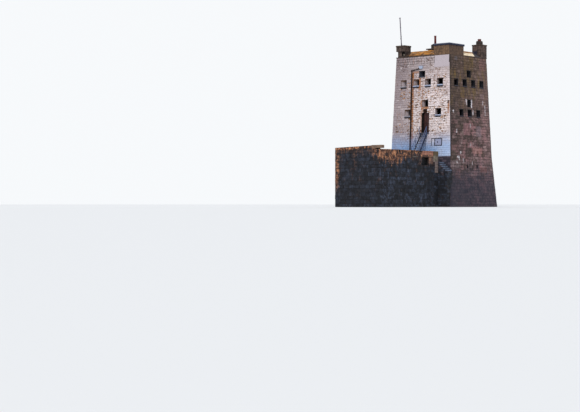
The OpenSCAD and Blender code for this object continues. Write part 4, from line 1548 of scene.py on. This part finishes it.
@dataclass
class TowerShell:
    """The tower's four walls with their stones, floors and sills."""

    palette: Palette
    lintel_h: float = 0.20
    front: Coursing = Coursing(0.27, 0.46, 0.034, (0.008, 0.026), 0.014, 0.014, 0.55)
    rubble: Coursing = Coursing(0.32, 0.52, 0.038, (0.010, 0.034), 0.020, 0.018, 0.66)

    def build(self) -> None:
        """Builds the shell's pieces."""
        self.dress_frame()
        self.build_front()
        for side in BARE_SIDES:
            self.build_side(side)
        self.build_sills()

    def dress_frame(self) -> None:
        """Gives the frame's walls and floors their finishes."""
        p = self.palette
        parts = [f"entrance_wall_{place}_door" for place in ("left_of", "right_of", "over")]
        dress(p.whitewash, "magazine_front_wall", *parts, "door_jambs", "upper_front_wall")
        bare = [f"{storey}_{side}_wall" for storey in ("magazine", "entrance", "upper")
                for side in ("right", "back", "left")]
        dress(p.granite, "tower_footing", *bare)
        dress(p.deck, "entrance_floor", "upper_floor", "roof_deck")
        dress(p.sill, "window_sills", "door_threshold")

    def build_front(self) -> None:
        """Lays the whitewashed front."""
        wall = Masonry(self.front, 11)
        door = (DOORWAY[0] - 0.015, DOORWAY[1] + 0.015, DOORWAY[2] - 0.15, DOORWAY[3])
        slot = (0.255, 0.835, DOORWAY[3], 11.42)
        fresh = (1.72, 3.79, 16.24, TOWER.head_z)
        free = [hole.rect for hole in FRONT_HOLES] + [
            door, slot, HATCH_PATCH, (-3.30, 3.30, 0.0, 5.15), (-3.30, -2.70, 5.15, 6.38),
            (fresh[0], 9.0, fresh[2], fresh[3]),
        ]
        lintels = [(hole.lintel(self.lintel_h, 0.11), 0.9) for hole in FRONT_HOLES if hole.z != UPPER_ROW_Z]
        face = TowerFace(Side.FRONT, 0.01)
        wall.lay(face, 0.0, TOWER.knee_z, free)
        wall.lay(face, TOWER.knee_z, TOWER.head_z, free, lintels)
        wall.set_stone(face, fresh, 0.6, 0.014)
        wall.set_stone(face, HATCH_PATCH, 0.6, 0.004)
        wall.build("front_wall_stones", self.palette.whitewash, "whitewashed_stone")

    def build_side(self, side: Side) -> None:
        """Lays one bare side.

        Args:
            side: Which side.
        """
        wall = Masonry(self.rubble, 20 + side)
        holes = list(SIDE_HOLES) + (list(VENTS) if side != Side.BACK else [])
        free = [hole.rect for hole in holes]
        lintels = [(hole.lintel(self.lintel_h, 0.12), 0.7) for hole in holes if hole.z != UPPER_ROW_Z]
        face = TowerFace(side, 0.01 if side == Side.BACK else 0.0)
        wall.lay(face, 0.0, TOWER.knee_z, free)
        wall.lay(face, TOWER.knee_z, TOWER.head_z, free, lintels)
        wall.build(f"{side.name.lower()}_wall_stones", self.palette.granite, "granite")

    def build_sills(self) -> None:
        """Adds worn noses to the sills, which are deep and reach far in at the front's loopholes."""
        bm = bmesh.new()
        rows = [(Side.FRONT, FRONT_HIGH, 0.096, 0.0)]
        rows += [(Side.FRONT, hole, 0.196, -0.32) for hole in FRONT_LOOPS]
        rows += [(side, hole, 0.096, 0.0) for side in BARE_SIDES for hole in SIDE_LOOPS]
        for side, hole, depth, inside in rows:
            add_on_face(bm, TowerFace(side), hole.sill(depth, 0.006), inside, 0.104, 0.012)
        make_piece(bm, "sill_noses", self.palette.sill)


@dataclass
class Parapet:
    """The parapet with its coping course, lichened slope, crest and inner faces."""

    palette: Palette
    slabs: Coursing = Coursing(0.30, 0.90, 0.022, (0.010, 0.024), 0.008, 0.012, 0.9)
    inner: Coursing = Coursing(0.27, 0.5, 0.03, (0.004, 0.014), 0.012, 0.012, 0.5)
    guard_left: float = 1.63
    guard_back: float = -0.92
    turret_edge: float = 2.60

    def build(self) -> None:
        """Builds the parapet's pieces."""
        dress(self.palette.lichen, *(f"{side.name.lower()}_parapet" for side in Side))
        slope = Masonry(self.slabs, 40)
        for side in Side:
            slope.lay(SlopeFace(side), 0.02, 1.0, self.seats(side))
        slope.build("parapet_slope_slabs", self.palette.lichen, "lichened_granite")
        self.build_coping()
        self.build_crest()
        self.build_inner()

    def seats(self, side: Side) -> list[Rect]:
        """Stretches of one side's slope that turrets and the guardhouse cover.

        Args:
            side: Which side.

        Returns:
            The covered rectangles.
        """
        low, high = (-9.0, -self.turret_edge), (self.turret_edge, 9.0)
        if side == Side.FRONT:
            high = (self.guard_left, 9.0)
        elif side == Side.RIGHT:
            low = (-9.0, self.guard_back)
        return [(*low, -1.0, 2.0), (*high, -1.0, 2.0)]

    def build_coping(self) -> None:
        """Lays the thin projecting course under the slope."""
        course = Masonry(Coursing(0.09, 0.85, 0.016, (0.003, 0.010), 0.003, 0.008, 0.8), 44)
        out = TOWER.head_half + TOWER.coping_out
        for side in Side:
            low, high = -out, out
            if side == Side.FRONT:
                high = self.guard_left
            elif side == Side.RIGHT:
                low = self.guard_back
            course.lay(UprightFace(side, out, low, high), TOWER.head_z, TOWER.slope_z)
        course.build("coping_stones", self.palette.turret, "lichened_granite")

    def build_crest(self) -> None:
        """Lays the slabs of the level crest."""
        crest = Masonry(Coursing(0.26, 0.8, 0.014, (0.006, 0.014), 0.004, 0.010, 0.8), 45)
        width = TOWER.crest_half - TOWER.deck_half
        edge, low, z = self.turret_edge - 0.04, -TOWER.crest_half, TOWER.crest_z
        crest.lay(flat_top((-edge, low, z), self.guard_left + edge), 0.0, width)
        crest.lay(flat_top((-edge, TOWER.deck_half, z), 2 * edge), 0.0, width)
        crest.lay(flat_top((low + width, -edge, z), 2 * edge, True), 0.0, width)
        right = flat_top((TOWER.crest_half, self.guard_back, z), edge - self.guard_back, True)
        crest.lay(right, 0.0, width)
        crest.build("crest_slabs", self.palette.lichen, "lichened_granite")

    def build_inner(self) -> None:
        """Lays the parapet's inner faces and the flags of the deck."""
        wall = Masonry(self.inner, 46)
        half, low, high = TOWER.deck_half, TOWER.deck_top_z, TOWER.crest_z
        for x, y, side, length in (
            (self.guard_left, -half, Side.BACK, self.guard_left + half),
            (half, half, Side.LEFT, half - self.guard_back),
            (-half, half, Side.FRONT, 2 * half), (-half, -half, Side.RIGHT, 2 * half),
        ):
            wall.lay(upright(x, y, side, length), low, high)
        wall.build("parapet_inner_stones", self.palette.olive, "lichened_granite")
        flags = Masonry(Coursing(0.62, 0.85, 0.02, (0.004, 0.012), 0.008, 0.010, 0.7), 47)
        taken = (self.guard_left + half, 9.0, -1.0, self.guard_back + half)
        flags.lay(flat_top((-half, -half, low), 2 * half), 0.0, 2 * half, [taken])
        flags.build("deck_flags", self.palette.deck, "granite")


@dataclass(frozen=True)
class Turret:
    """A corner turret: its place, its shaft's foot and head and its cap's half width and head."""

    side_x: int
    side_y: int
    foot: float
    head: float
    cap_half: float
    cap_head: float
    half: float = 0.615

    def middle(self) -> Pair:
        """Place of its axis on plan."""
        reach = TOWER.head_half + 0.03 - self.half
        return self.side_x * reach, self.side_y * reach

    def block(self, half: float, foot: float, head: float) -> tuple[Point, Point]:
        """Lowest and highest corner of a square block on its axis."""
        x, y = self.middle()
        return (x - half, y - half, foot), (x + half, y + half, head)


TURRETS = (
    Turret(-1, -1, 18.37, 18.93, 0.655, 19.08),
    Turret(1, 1, 17.69, 19.12, 0.655, 19.25),
    Turret(-1, 1, 17.69, 19.12, 0.805, 19.25),
)


@dataclass
class Roofscape:
    """Corner turrets, guardhouse, chimneys and flagpole."""

    palette: Palette
    blocks: Coursing = Coursing(0.27, 0.46, 0.026, (0.006, 0.018), 0.010, 0.014, 0.5)
    guard_low: Point = (1.63, -3.80, 17.60)
    guard_high: Point = (3.80, -0.92, 18.72)
    roof_top: float = 18.95
    eave: float = 0.09
    pole_foot: Point = (-3.51, -3.215, 19.08)
    pole_lean: float = math.radians(4.0)

    def build(self) -> None:
        """Builds the roof's pieces."""
        p = self.palette
        dress(p.turret, "flagpole_turret", "chimney_turret", "rear_turret")
        dress(p.guardhouse, "guardhouse_walls")
        dress(p.stack, "chimney_stacks")
        dress(p.clay, "chimney_pots")
        dress(p.pole, "flagpole")
        self.build_turrets()
        self.build_guardhouse()
        self.build_roof()
        self.build_stacks()
        self.build_pole_fittings()

    def build_turrets(self) -> None:
        """Lays the turrets' stones and the slabs of their caps."""
        wall = Masonry(self.blocks, 50)
        caps = Masonry(Coursing(0.5, 0.66, 0.014, (0.004, 0.010), 0.004, 0.014, 0.6), 51)
        for turret in TURRETS:
            lay_box(wall, *turret.block(turret.half, turret.foot, turret.head))
            lay_box(caps, *turret.block(turret.cap_half, turret.head, turret.cap_head), top=True)
        x, y = TURRETS[0].middle()
        neck = (x - 0.465, y - 0.465, TOWER.slope_z)
        niche = (0.595, 1.005, 17.85, 18.33)
        half, foot = TURRETS[0].half, TURRETS[0].foot
        lay_box(wall, neck, (x + half, y + half, foot), openings={Side.FRONT: [niche]})
        wall.build("turret_stones", self.palette.turret, "turret_stone")
        caps.build("turret_cap_slabs", self.palette.cap, "turret_stone")
        bm = bmesh.new()
        add_block(bm, (x + 0.26, y - 0.40, 17.86), (x + 0.50, y - 0.20, 18.09), 0.03)
        make_piece(bm, "niche_stone", self.palette.olive)

    def build_guardhouse(self) -> None:
        """Lays the guardhouse walls in large thin-jointed blocks."""
        wall = Masonry(Coursing(0.35, 0.62, 0.016, (0.004, 0.012), 0.006, 0.010, 0.55), 52)
        free = {Side.LEFT: [(0.41, 1.19, 0.0, 30.0)]}
        (x0, _, z0), high = self.guard_low, self.guard_high
        lay_box(wall, self.guard_low, high, free)
        low, high = (x0, -TOWER.deck_half, TOWER.deck_top_z), (TOWER.deck_half, high[1], z0)
        lay_box(wall, low, high, free, (Side.BACK, Side.LEFT))
        wall.build("guardhouse_stones", self.palette.guardhouse, "turret_stone")

    def build_roof(self) -> None:
        """Makes the guardhouse roof of three long slabs with a worn edge."""
        bm = bmesh.new()
        low_x, high_x = self.guard_low[0] - self.eave, self.guard_high[0] + self.eave
        low_y, high_y = self.guard_low[1] - self.eave, self.guard_high[1] + self.eave
        cuts = [low_x, low_x + 0.80, low_x + 1.55, high_x]
        for left, right in zip(cuts, cuts[1:]):
            low, high = (left + 0.003, low_y, self.guard_high[2]), (right - 0.003, high_y, self.roof_top)
            add_block(bm, low, high, 0.028, 3)
        make_piece(
            bm, "guardhouse_roof_slabs", self.palette.roof,
            replaces=("guardhouse_roof",),
        )

    def build_stacks(self) -> None:
        """Lays the stones of the stacks and the bands of the pots."""
        wall = Masonry(Coursing(0.20, 0.34, 0.022, (0.005, 0.016), 0.008, 0.012, 0.3), 53)
        bands = bmesh.new()
        for turret, half, head, radius, top in (
            (TURRETS[1], 0.285, 19.61, 0.200, 19.95), (TURRETS[2], 0.365, 19.73, 0.140, 20.84),
        ):
            x, y = turret.middle()
            lay_box(wall, *turret.block(half, turret.cap_head, head))
            foot = head + 0.11
            for level in (foot + 0.02, top - 0.16):
                add_bar(bands, Vector((x, y, level)), Vector((x, y, level + 0.035)), radius + 0.012, 40)
        wall.build("stack_stones", self.palette.stack, "turret_stone")
        make_piece(bands, "pot_bands", self.palette.clay, smooth=True)

    def build_pole_fittings(self) -> None:
        """Adds the flagpole's bands and its cleat."""
        bm = bmesh.new()
        foot = Vector(self.pole_foot)
        lean = Vector((-math.sin(self.pole_lean), 0.0, math.cos(self.pole_lean)))
        for along in (0.25, 1.1, 2.2):
            start = foot + lean * along
            add_bar(bm, start, start + lean * 0.05, 0.070, 32)
        cleat = foot + lean * 0.9
        add_block(bm, cleat + Vector((-0.02, -0.115, -0.09)), cleat + Vector((0.02, -0.055, 0.09)), 0.008)
        make_piece(bm, "flagpole_bands", self.palette.iron, smooth=True)


@dataclass
class Fittings:
    """Door, stair, downpipe and hatch on the front."""

    palette: Palette
    pipe_x: float = -1.45
    pipe_out: float = 0.108
    stair_x: float = 0.56
    stair_half: float = 0.45
    stair_top: Pair = (-4.229, 8.65)
    stair_run: float = 2.15
    stair_rise: float = 3.50
    risers: int = 14
    boards: int = 6
    door_rect: Rect = (0.075, 1.125, 8.68, 10.94)
    door_face_y: float = -3.7195
    collars: tuple[float, ...] = (6.4, 8.3, 10.2, 12.1, 14.0)
    branch_z: float = 15.9
    head_rect: Rect = (-0.39, 0.13, 16.14, 16.47)

    def build(self) -> None:
        """Builds the fittings."""
        p = self.palette
        dress(p.downpipe, "downpipe")
        dress(p.boards, "door_leaf")
        dress(p.iron, "door_ironwork", "door_pintles")
        dress(p.stringer, "stair_stringers")
        dress(p.stair, "stair_handrails")
        dress(p.tread, "stair_treads")
        self.build_door()
        self.build_stair()
        self.build_downpipe()
        self.build_hopper()
        self.build_hatch()

    def build_door(self) -> None:
        """Adds the boards, studs and weather bar of the door."""
        bm = bmesh.new()
        tint = bm.faces.layers.float.new("tint")
        (left, right, foot, head), face_y, count = self.door_rect, self.door_face_y, self.boards
        dice = random.Random(71)
        for i in range(count):
            low = left + (right - left) * i / count + 0.004
            high = left + (right - left) * (i + 1) / count - 0.004
            known = set(bm.faces)
            add_block(bm, (low, face_y - 0.006, foot), (high, face_y + 0.01, head), 0.005)
            shade = dice.uniform(0.0, 1.0)
            for face in set(bm.faces) - known:
                face[tint] = shade
        for level in (8.70, 9.72, 10.78):
            add_block(bm, (left + 0.01, face_y - 0.012, level), (right - 0.01, face_y, level + 0.10), 0.004)
        make_piece(bm, "door_boards", self.palette.boards, body=DOOR_BODY)
        studs = bmesh.new()
        for level in (8.75, 9.77, 10.83):
            for i in range(count * 2):
                x = left + (right - left) * (i + 0.5) / (count * 2)
                matrix = Matrix.Translation((x, face_y - 0.012, level)) @ Matrix.Diagonal((1, 0.5, 1, 1))
                bmesh.ops.create_uvsphere(studs, u_segments=10, v_segments=6, radius=0.012, matrix=matrix)
        make_piece(studs, "door_studs", self.palette.iron, body=DOOR_BODY, smooth=True)

    def stair_point(self, share: float) -> Pair:
        """Place along the stair, as Y and Z, at a share of its run from the top down."""
        return self.stair_top[0] - self.stair_run * share, self.stair_top[1] - self.stair_rise * share

    def build_stair(self) -> None:
        """Adds the stringers' flanges, the treads' nosings and cleats, and the bolts."""
        flanges, nosings, bolts = (bmesh.new() for _ in range(3))
        for side in (-1, 1):
            inner = self.stair_x + side * (self.stair_half - 0.012)
            outer = inner - side * 0.055
            low_x, high_x = min(inner, outer), max(inner, outer)
            section = ((low_x, 0.014), (high_x, 0.014), (high_x, 0.0), (low_x, 0.0))
            ends = (self.stair_point(0.03), self.stair_point(0.965))
            for lift in (0.0, -0.19):
                outlines = ([Vector((x, y - 0.115, z + lift - t)) for x, t in section] for y, z in ends)
                add_solid(flanges, *outlines)
            for i in range(1, self.risers):
                y, z = self.stair_point(i / self.risers)
                bolt = Vector((inner + side * 0.010, y - 0.07, z - 0.075))
                add_bar(bolts, bolt, bolt + Vector((side * 0.012, 0, 0)), 0.013, 6)
                low = (min(inner, inner - side * 0.05), y - 0.14, z - 0.10)
                high = (max(inner, inner - side * 0.05), y + 0.01, z - 0.04)
                add_block(nosings, low, high, 0.004, 1)
            for share in (0.12, 0.52, 0.92):
                y, z = self.stair_point(share)
                x = self.stair_x + side * (self.stair_half + 0.027)
                for lift in (1.05, 0.525):
                    low, high = (Vector((x, y, z + lift + step)) for step in (-0.045, 0.032))
                    add_bar(bolts, low, high, 0.036)
        for i in range(1, self.risers):
            y, z = self.stair_point(i / self.risers)
            low_x, high_x = self.stair_x - self.stair_half + 0.012, self.stair_x + self.stair_half - 0.012
            add_block(nosings, (low_x, y - 0.172, z - 0.045), (high_x, y - 0.150, z + 0.006), 0.004, 1)
            for k in range(9):
                x = low_x + (high_x - low_x) * (k + 0.5) / 9
                low, high = (x - 0.03, y - 0.13, z - 0.002), (x + 0.03, y + 0.01, z + 0.005)
                add_block(nosings, low, high, 0.002, 1)
        make_piece(flanges, "stringer_flanges", self.palette.stringer)
        make_piece(nosings, "tread_nosings", self.palette.tread)
        make_piece(bolts, "stair_bolts", self.palette.stair, smooth=True)

    def pipe_point(self, z: float, x: float | None = None, out: float | None = None) -> Vector:
        """Place on the axis of the downpipe, or beside it."""
        place = TOWER.upper_half(z) + (self.pipe_out if out is None else out)
        return Vector((self.pipe_x if x is None else x, -place, z))

    def build_downpipe(self) -> None:
        """Adds the downpipe's collars, ears and nails."""
        bm = bmesh.new()
        for z in self.collars:
            add_bar(bm, self.pipe_point(z), self.pipe_point(z + 0.13), 0.083, 28)
            add_bar(bm, self.pipe_point(z + 0.13), self.pipe_point(z + 0.16), 0.090, 28)
            for side in (-1, 1):
                x = self.pipe_x + side * 0.11
                nail, tip = (self.pipe_point(z + 0.06, x, out) for out in (-0.01, 0.055))
                add_bar(bm, nail, tip, 0.016, 10)
                low = self.pipe_point(z + 0.02, min(x, self.pipe_x), 0.0)
                high = self.pipe_point(z + 0.10, max(x, self.pipe_x), 0.0)
                add_block(bm, (low.x, low.y - 0.045, low.z), (high.x, low.y - 0.02, high.z), 0.006)
        foot = self.pipe_point(5.30)
        add_bar(bm, foot, foot + Vector((0.0, -0.16, -0.10)), 0.068, 28)
        make_piece(bm, "downpipe_collars", self.palette.downpipe, smooth=True)

    def build_hopper(self) -> None:
        """Makes the branch and the box that feed the downpipe."""
        bm = bmesh.new()
        top = self.branch_z
        add_bar(bm, self.pipe_point(top), self.pipe_point(top + 0.15), 0.080, 32)
        knee = self.pipe_point(top + 0.09)
        reach = self.pipe_point(top + 0.27, self.pipe_x + 1.12)
        add_bar(bm, knee, reach, 0.055, 28)
        ball = Matrix.Translation(knee + Vector((0.01, 0, 0.03)))
        bmesh.ops.create_uvsphere(bm, u_segments=28, v_segments=14, radius=0.068, matrix=ball)
        way = (reach - knee).normalized()
        for share in (0.3, 0.85):
            middle = knee.lerp(reach, share)
            add_bar(bm, middle, middle + way * 0.09, 0.068, 28)
        make_piece(bm, "rain_branch", self.palette.downpipe, smooth=True)
        box = bmesh.new()
        face = TowerFace(Side.FRONT)
        left, right, foot, head = self.head_rect
        rings = [
            [face.point(u, z, out) for u, out in ((low, 0.0), (high, 0.0), (high, reach), (low, reach))]
            for low, high, reach, z in (
                (left + 0.07, right - 0.07, 0.15, foot), (left, right, 0.21, head - 0.08),
            )
        ]
        add_solid(box, *rings, 0.012)
        add_on_face(box, face, (left - 0.015, right + 0.015, head - 0.08, head), 0.0, 0.222, 0.010)
        make_piece(box, "rain_head", self.palette.hopper, replaces=("rain_hopper",))

    def build_hatch(self) -> None:
        """Makes the service hatch with its frame, pale panel, hinges and handle."""
        face = TowerFace(Side.FRONT)
        left, right, foot, head = HATCH
        frame_bm, panel, bar = bmesh.new(), bmesh.new(), 0.07
        edges = [
            (left, right, foot, foot + bar), (left, right, head - bar, head),
            (left, left + bar, foot + bar, head - bar), (right - bar, right, foot + bar, head - bar),
        ]
        side_bars = [(1.55, 1.60, 7.10, 7.96), (1.60, 1.98, 7.91, 7.96)]
        hinges = [(left + 0.03, left + 0.16, z, z + 0.07) for z in (7.28, 7.70)]
        plate, grip = [(2.40, 2.46, 7.41, 7.62)], [(2.383, 2.493, 7.495, 7.535)]
        for rects, inside, outside, width in (
            (edges, 0.0, 0.050, 0.008), (side_bars, 0.0, 0.050, 0.010), (hinges, 0.02, 0.060, 0.006),
            (plate, 0.02, 0.050, 0.006), (grip, 0.02, 0.070, 0.008),
        ):
            for rect in rects:
                add_on_face(frame_bm, face, rect, inside, outside, width)
        edge = bar - 0.01
        add_on_face(panel, face, (left + edge, right - edge, foot + edge, head - edge), 0.0, 0.022)
        make_piece(
            frame_bm, "hatch_frame", self.palette.hatch,
            replaces=("service_hatch",),
        )
        make_piece(panel, "hatch_panel", self.palette.panel)


@dataclass
class GunPlatform:
    """The walled platform before the tower, with its pier and entry steps."""

    palette: Palette
    half: float = 3.28
    inner: float = 2.68
    front_y: float = -15.87
    end_y: float = -5.31
    pier_y: float = -6.24
    paving_z: float = 5.15
    side_top: float = 6.37
    front_top: float = 6.63
    front_rise: float = 0.19
    stone_left: float = 1.88
    gap_left: float = 2.53
    thickness: float = 0.60
    left_end_y: float = -4.3
    quoin: float = 0.62
    quoin_foot: float = 3.9
    notch_y: Pair = (-8.925, -8.275)
    blocks: Coursing = Coursing(0.42, 0.70, 0.036, (0.012, 0.045), 0.026, 0.026, 0.8)
    capping: Coursing = Coursing(0.62, 0.8, 0.024, (0.006, 0.018), 0.010, 0.022, 0.8)

    def build(self) -> None:
        """Builds the platform's pieces."""
        p = self.palette
        walls = [f"platform_{side}_parapet" for side in ("front", "left", "right")]
        dress(p.sea_stone, "platform_body", *walls, "entry_steps")
        dress(p.olive, "platform_end_pier")
        self.build_outside()
        self.build_inside()
        self.build_tops()
        self.build_corner_stone()
        self.build_pier()
        self.build_steps()

    @property
    def slope(self) -> float:
        """Rise of the front wall's top for each metre to the right."""
        return self.front_rise / (2 * self.half)

    def build_outside(self) -> None:
        """Lays the outer faces of the front, right and left walls."""
        wall = Masonry(self.blocks, 60)
        cuts = ((self.stone_left, 6.365), (self.gap_left, 6.245))
        lost = [(left + self.half, 9.0, foot, 8.0) for left, foot in cuts]
        front = RisingFace(self.half, self.front_y, self.paving_z, self.front_top, self.front_rise)
        wall.lay(front, 0.0, self.front_top, lost)
        length = self.end_y - self.front_y
        right = upright(self.half, self.front_y, Side.RIGHT, length)
        quoins = (length - self.quoin, length, self.quoin_foot, self.paving_z)
        pier = (self.pier_y - self.front_y, length, self.paving_z, 9.0)
        niche, notch = (7.46, 8.76, 4.73, 5.65), (6.94, 7.60, 6.21, 7.0)
        wall.lay(right, 0.0, self.side_top, [niche, notch, quoins, pier])
        left = upright(-self.half, self.left_end_y, Side.LEFT, self.left_end_y - self.front_y)
        wall.lay(left, 0.0, self.side_top)
        wall.build("platform_stones", self.palette.sea_stone, "dark_granite")
        pale = Masonry(Coursing(0.30, 0.62, 0.02, (0.016, 0.034), 0.010, 0.020, 0.6), 61)
        corner = upright(self.half, self.end_y - self.quoin, Side.RIGHT, self.quoin)
        pale.lay(corner, self.quoin_foot, self.paving_z)
        pale.build("pier_foot_quoins", self.palette.olive, "olive_granite")

    def build_inside(self) -> None:
        """Lays the inner faces of the parapets and the paving."""
        wall = Masonry(self.blocks, 62)
        back_y, z0, z1 = self.front_y + self.thickness, self.paving_z, self.side_top
        wall.lay(upright(-self.inner, back_y, Side.RIGHT, -4.4 - back_y), z0, z1)
        near, far = self.notch_y
        notch = (self.pier_y - far, self.pier_y - near, 6.21, 7.0)
        wall.lay(upright(self.inner, self.pier_y, Side.LEFT, self.pier_y - back_y), z0, z1, [notch])
        wall.lay(upright(self.inner, back_y, Side.BACK, 2 * self.inner), z0, self.front_top)
        wall.build("parapet_backs", self.palette.sea_stone, "dark_granite")
        flags = Masonry(Coursing(0.72, 0.95, 0.024, (0.004, 0.014), 0.012, 0.014, 0.8), 63)
        flags.lay(flat_top((-self.inner, back_y, z0), 2 * self.inner), 0.0, -4.36 - back_y)
        flags.lay(flat_top((self.inner, self.end_y, z0), self.half - self.inner), 0.0, 0.94)
        flags.build("paving_flags", self.palette.paving, "dark_granite")

    def build_tops(self) -> None:
        """Lays the cap stones of the parapets."""
        caps = Masonry(self.capping, 64)
        z, t = self.side_top, self.thickness
        caps.lay(flat_top((-self.inner, self.front_y + t, z), 11.0, True), 0.0, t)
        start = self.front_y + t
        notch = (self.notch_y[0] - start, self.notch_y[1] - start, -1.0, 2.0)
        caps.lay(flat_top((self.half, start, z), self.pier_y - start, True), 0.0, t, [notch])
        across = tuple(Vector((1.0, 0.0, self.slope)).normalized())
        corner = (-self.half, self.front_y, self.front_top)
        top = FlatFace(corner, across, (0, 1, 0), self.stone_left + self.half)
        caps.lay(top, 0.0, t)
        caps.build("parapet_cap_stones", self.palette.capstone, "dark_granite")

    def build_corner_stone(self) -> None:
        """Makes the coping stone that bridges the gap at the outer corner."""
        bm = bmesh.new()
        left, right = self.stone_left, self.half + 0.03
        foot, front, back = 6.49, self.front_y - 0.03, self.front_y + 0.47
        plan = ((left, front), (right, front), (right, back), (left, back))
        top = self.front_top + self.slope * (right + self.half)
        add_solid(bm, *([Vector((x, y, z)) for x, y in plan] for z in (foot, top)), 0.03, 3)
        stone = self.palette.corner
        make_piece(bm, "corner_stone", stone, replaces=("corner_coping_stone",))

    def build_pier(self) -> None:
        """Lays the pier at the entry gap and its heavy cap."""
        shaft = Masonry(Coursing(0.38, 0.5, 0.02, (0.006, 0.014), 0.008, 0.016, 0.5), 65)
        low, high = (self.inner, self.pier_y, self.paving_z), (self.half, self.end_y, 5.90)
        lay_box(shaft, low, high, sides=BARE_SIDES)
        shaft.build("pier_stones", self.palette.olive, "olive_granite")
        bm = bmesh.new()
        low, high = (self.inner - 0.01, self.pier_y, 5.89), (self.half + 0.06, self.end_y + 0.01, 6.375)
        add_block(bm, low, high, 0.05, 3)
        make_piece(bm, "pier_cap", self.palette.olive)

    def build_steps(self) -> None:
        """Lays the faces and treads of the entry steps."""
        wall = Masonry(Coursing(0.22, 0.55, 0.024, (0.006, 0.022), 0.012, 0.018, 0.5), 66)
        go, drop, count = 0.25, 0.22, 5
        over = [(go * i, 9.0, self.paving_z - drop * i, 9.0) for i in range(1, count)]
        face = upright(self.half, self.end_y, Side.FRONT, go * count)
        wall.lay(face, 0.0, self.paving_z, over)
        end = upright(self.half + go * count, self.end_y, Side.RIGHT, 0.98)
        wall.lay(end, 0.0, self.paving_z - drop * (count - 1))
        wall.build("step_stones", self.palette.sea_stone, "dark_granite")
        bm = bmesh.new()
        for i in range(count):
            top = self.paving_z - drop * i
            low = (self.half + go * i - 0.005, self.end_y - 0.02, top - 0.15)
            add_block(bm, low, (self.half + go * (i + 1) + 0.02, -4.42, top + 0.008), 0.018)
        make_piece(bm, "step_treads", self.palette.steps)


# Stage


@dataclass
class Stage:
    """Floor, light and camera; heading and sun_spread are in degrees."""

    camera_at: Point = (102.07, -143.55, 0.35)
    heading: float = 41.28
    focal_px: float = 1475.07
    frame_px: tuple[int, int] = (580, 412)
    horizon_px: float = 203.95
    sensor_mm: float = 36.0
    far: float = 3000.0
    floor_radius: float = 900.0
    floor_z: float = -0.004
    floor_colour: Colour = (0.80, 0.80, 0.80, 1.0)
    sun_from: Point = (0.30, -0.62, 0.70)
    sun_power: float = 2.0
    sun_spread: float = 24.0
    sun_colour: Point = (1.0, 0.97, 0.93)
    sky_colour: Colour = (0.86, 0.92, 1.0, 1.0)
    sky_power: float = 0.70
    backdrop: Colour = (0.93, 0.95, 0.97, 1.0)

    def build(self) -> None:
        """Builds the stage."""
        self.add_camera()
        self.add_floor()
        self.add_sun()
        self.add_sky()

    def add_camera(self) -> None:
        """Sets the camera at the photograph's angle."""
        data = bpy.data.cameras.new("camera")
        data.sensor_fit = "HORIZONTAL"
        data.sensor_width = self.sensor_mm
        data.lens = self.sensor_mm * self.focal_px / self.frame_px[0]
        data.shift_y = (self.horizon_px - self.frame_px[1] / 2) / self.frame_px[0]
        data.clip_end = self.far
        camera = bpy.data.objects.new("camera", data)
        camera.location = self.camera_at
        camera.rotation_euler = (math.pi / 2, 0.0, math.radians(self.heading))
        bpy.context.scene.collection.objects.link(camera)
        bpy.context.scene.camera = camera

    def add_floor(self) -> None:
        """Adds a wide pale floor."""
        bm = bmesh.new()
        bmesh.ops.create_circle(bm, cap_ends=True, radius=self.floor_radius, segments=96)
        mesh = bpy.data.meshes.new("floor")
        bm.to_mesh(mesh)
        bm.free()
        material = bpy.data.materials.new("floor")
        material.use_nodes = True
        shader = material.node_tree.nodes["Principled BSDF"]
        shader.inputs["Base Color"].default_value = self.floor_colour
        shader.inputs["Roughness"].default_value = 0.95
        mesh.materials.append(material)
        floor = bpy.data.objects.new("floor", mesh)
        floor.location = (0.0, 0.0, self.floor_z)
        bpy.context.scene.collection.objects.link(floor)

    def add_sun(self) -> None:
        """Adds a soft sun from the front."""
        data = bpy.data.lights.new("key", "SUN")
        data.energy = self.sun_power
        data.angle = math.radians(self.sun_spread)
        data.color = self.sun_colour
        key = bpy.data.objects.new("key", data)
        key.rotation_euler = Vector(self.sun_from).normalized().to_track_quat("Z", "Y").to_euler()
        bpy.context.scene.collection.objects.link(key)

    def add_sky(self) -> None:
        """Adds a pale sky, which lights the scene, and a paler backdrop, which the camera sees."""
        world = bpy.data.worlds.new("world")
        bpy.context.scene.world = world
        world.use_nodes = True
        nodes, links = world.node_tree.nodes, world.node_tree.links
        nodes.clear()
        output = nodes.new("ShaderNodeOutputWorld")
        mix = nodes.new("ShaderNodeMixShader")
        path = nodes.new("ShaderNodeLightPath")
        links.new(path.outputs["Is Camera Ray"], mix.inputs[0])
        for place, colour, power in ((1, self.sky_colour, self.sky_power), (2, self.backdrop, 1.0)):
            light = nodes.new("ShaderNodeBackground")
            light.inputs["Color"].default_value = colour
            light.inputs["Strength"].default_value = power
            links.new(light.outputs[0], mix.inputs[place])
        links.new(mix.outputs[0], output.inputs["Surface"])
        bpy.context.scene.view_settings.view_transform = "Standard"


def main() -> None:
    """Builds the scene in order."""
    logging.basicConfig(level=logging.INFO, format="%(message)s")
    Stage().build()
    palette = Palette()
    for part in (TowerShell, Parapet, Roofscape, Fittings, GunPlatform):
        LOG.info("building %s", part.__name__)
        part(palette).build()


if __name__ == "__main__":
    main()
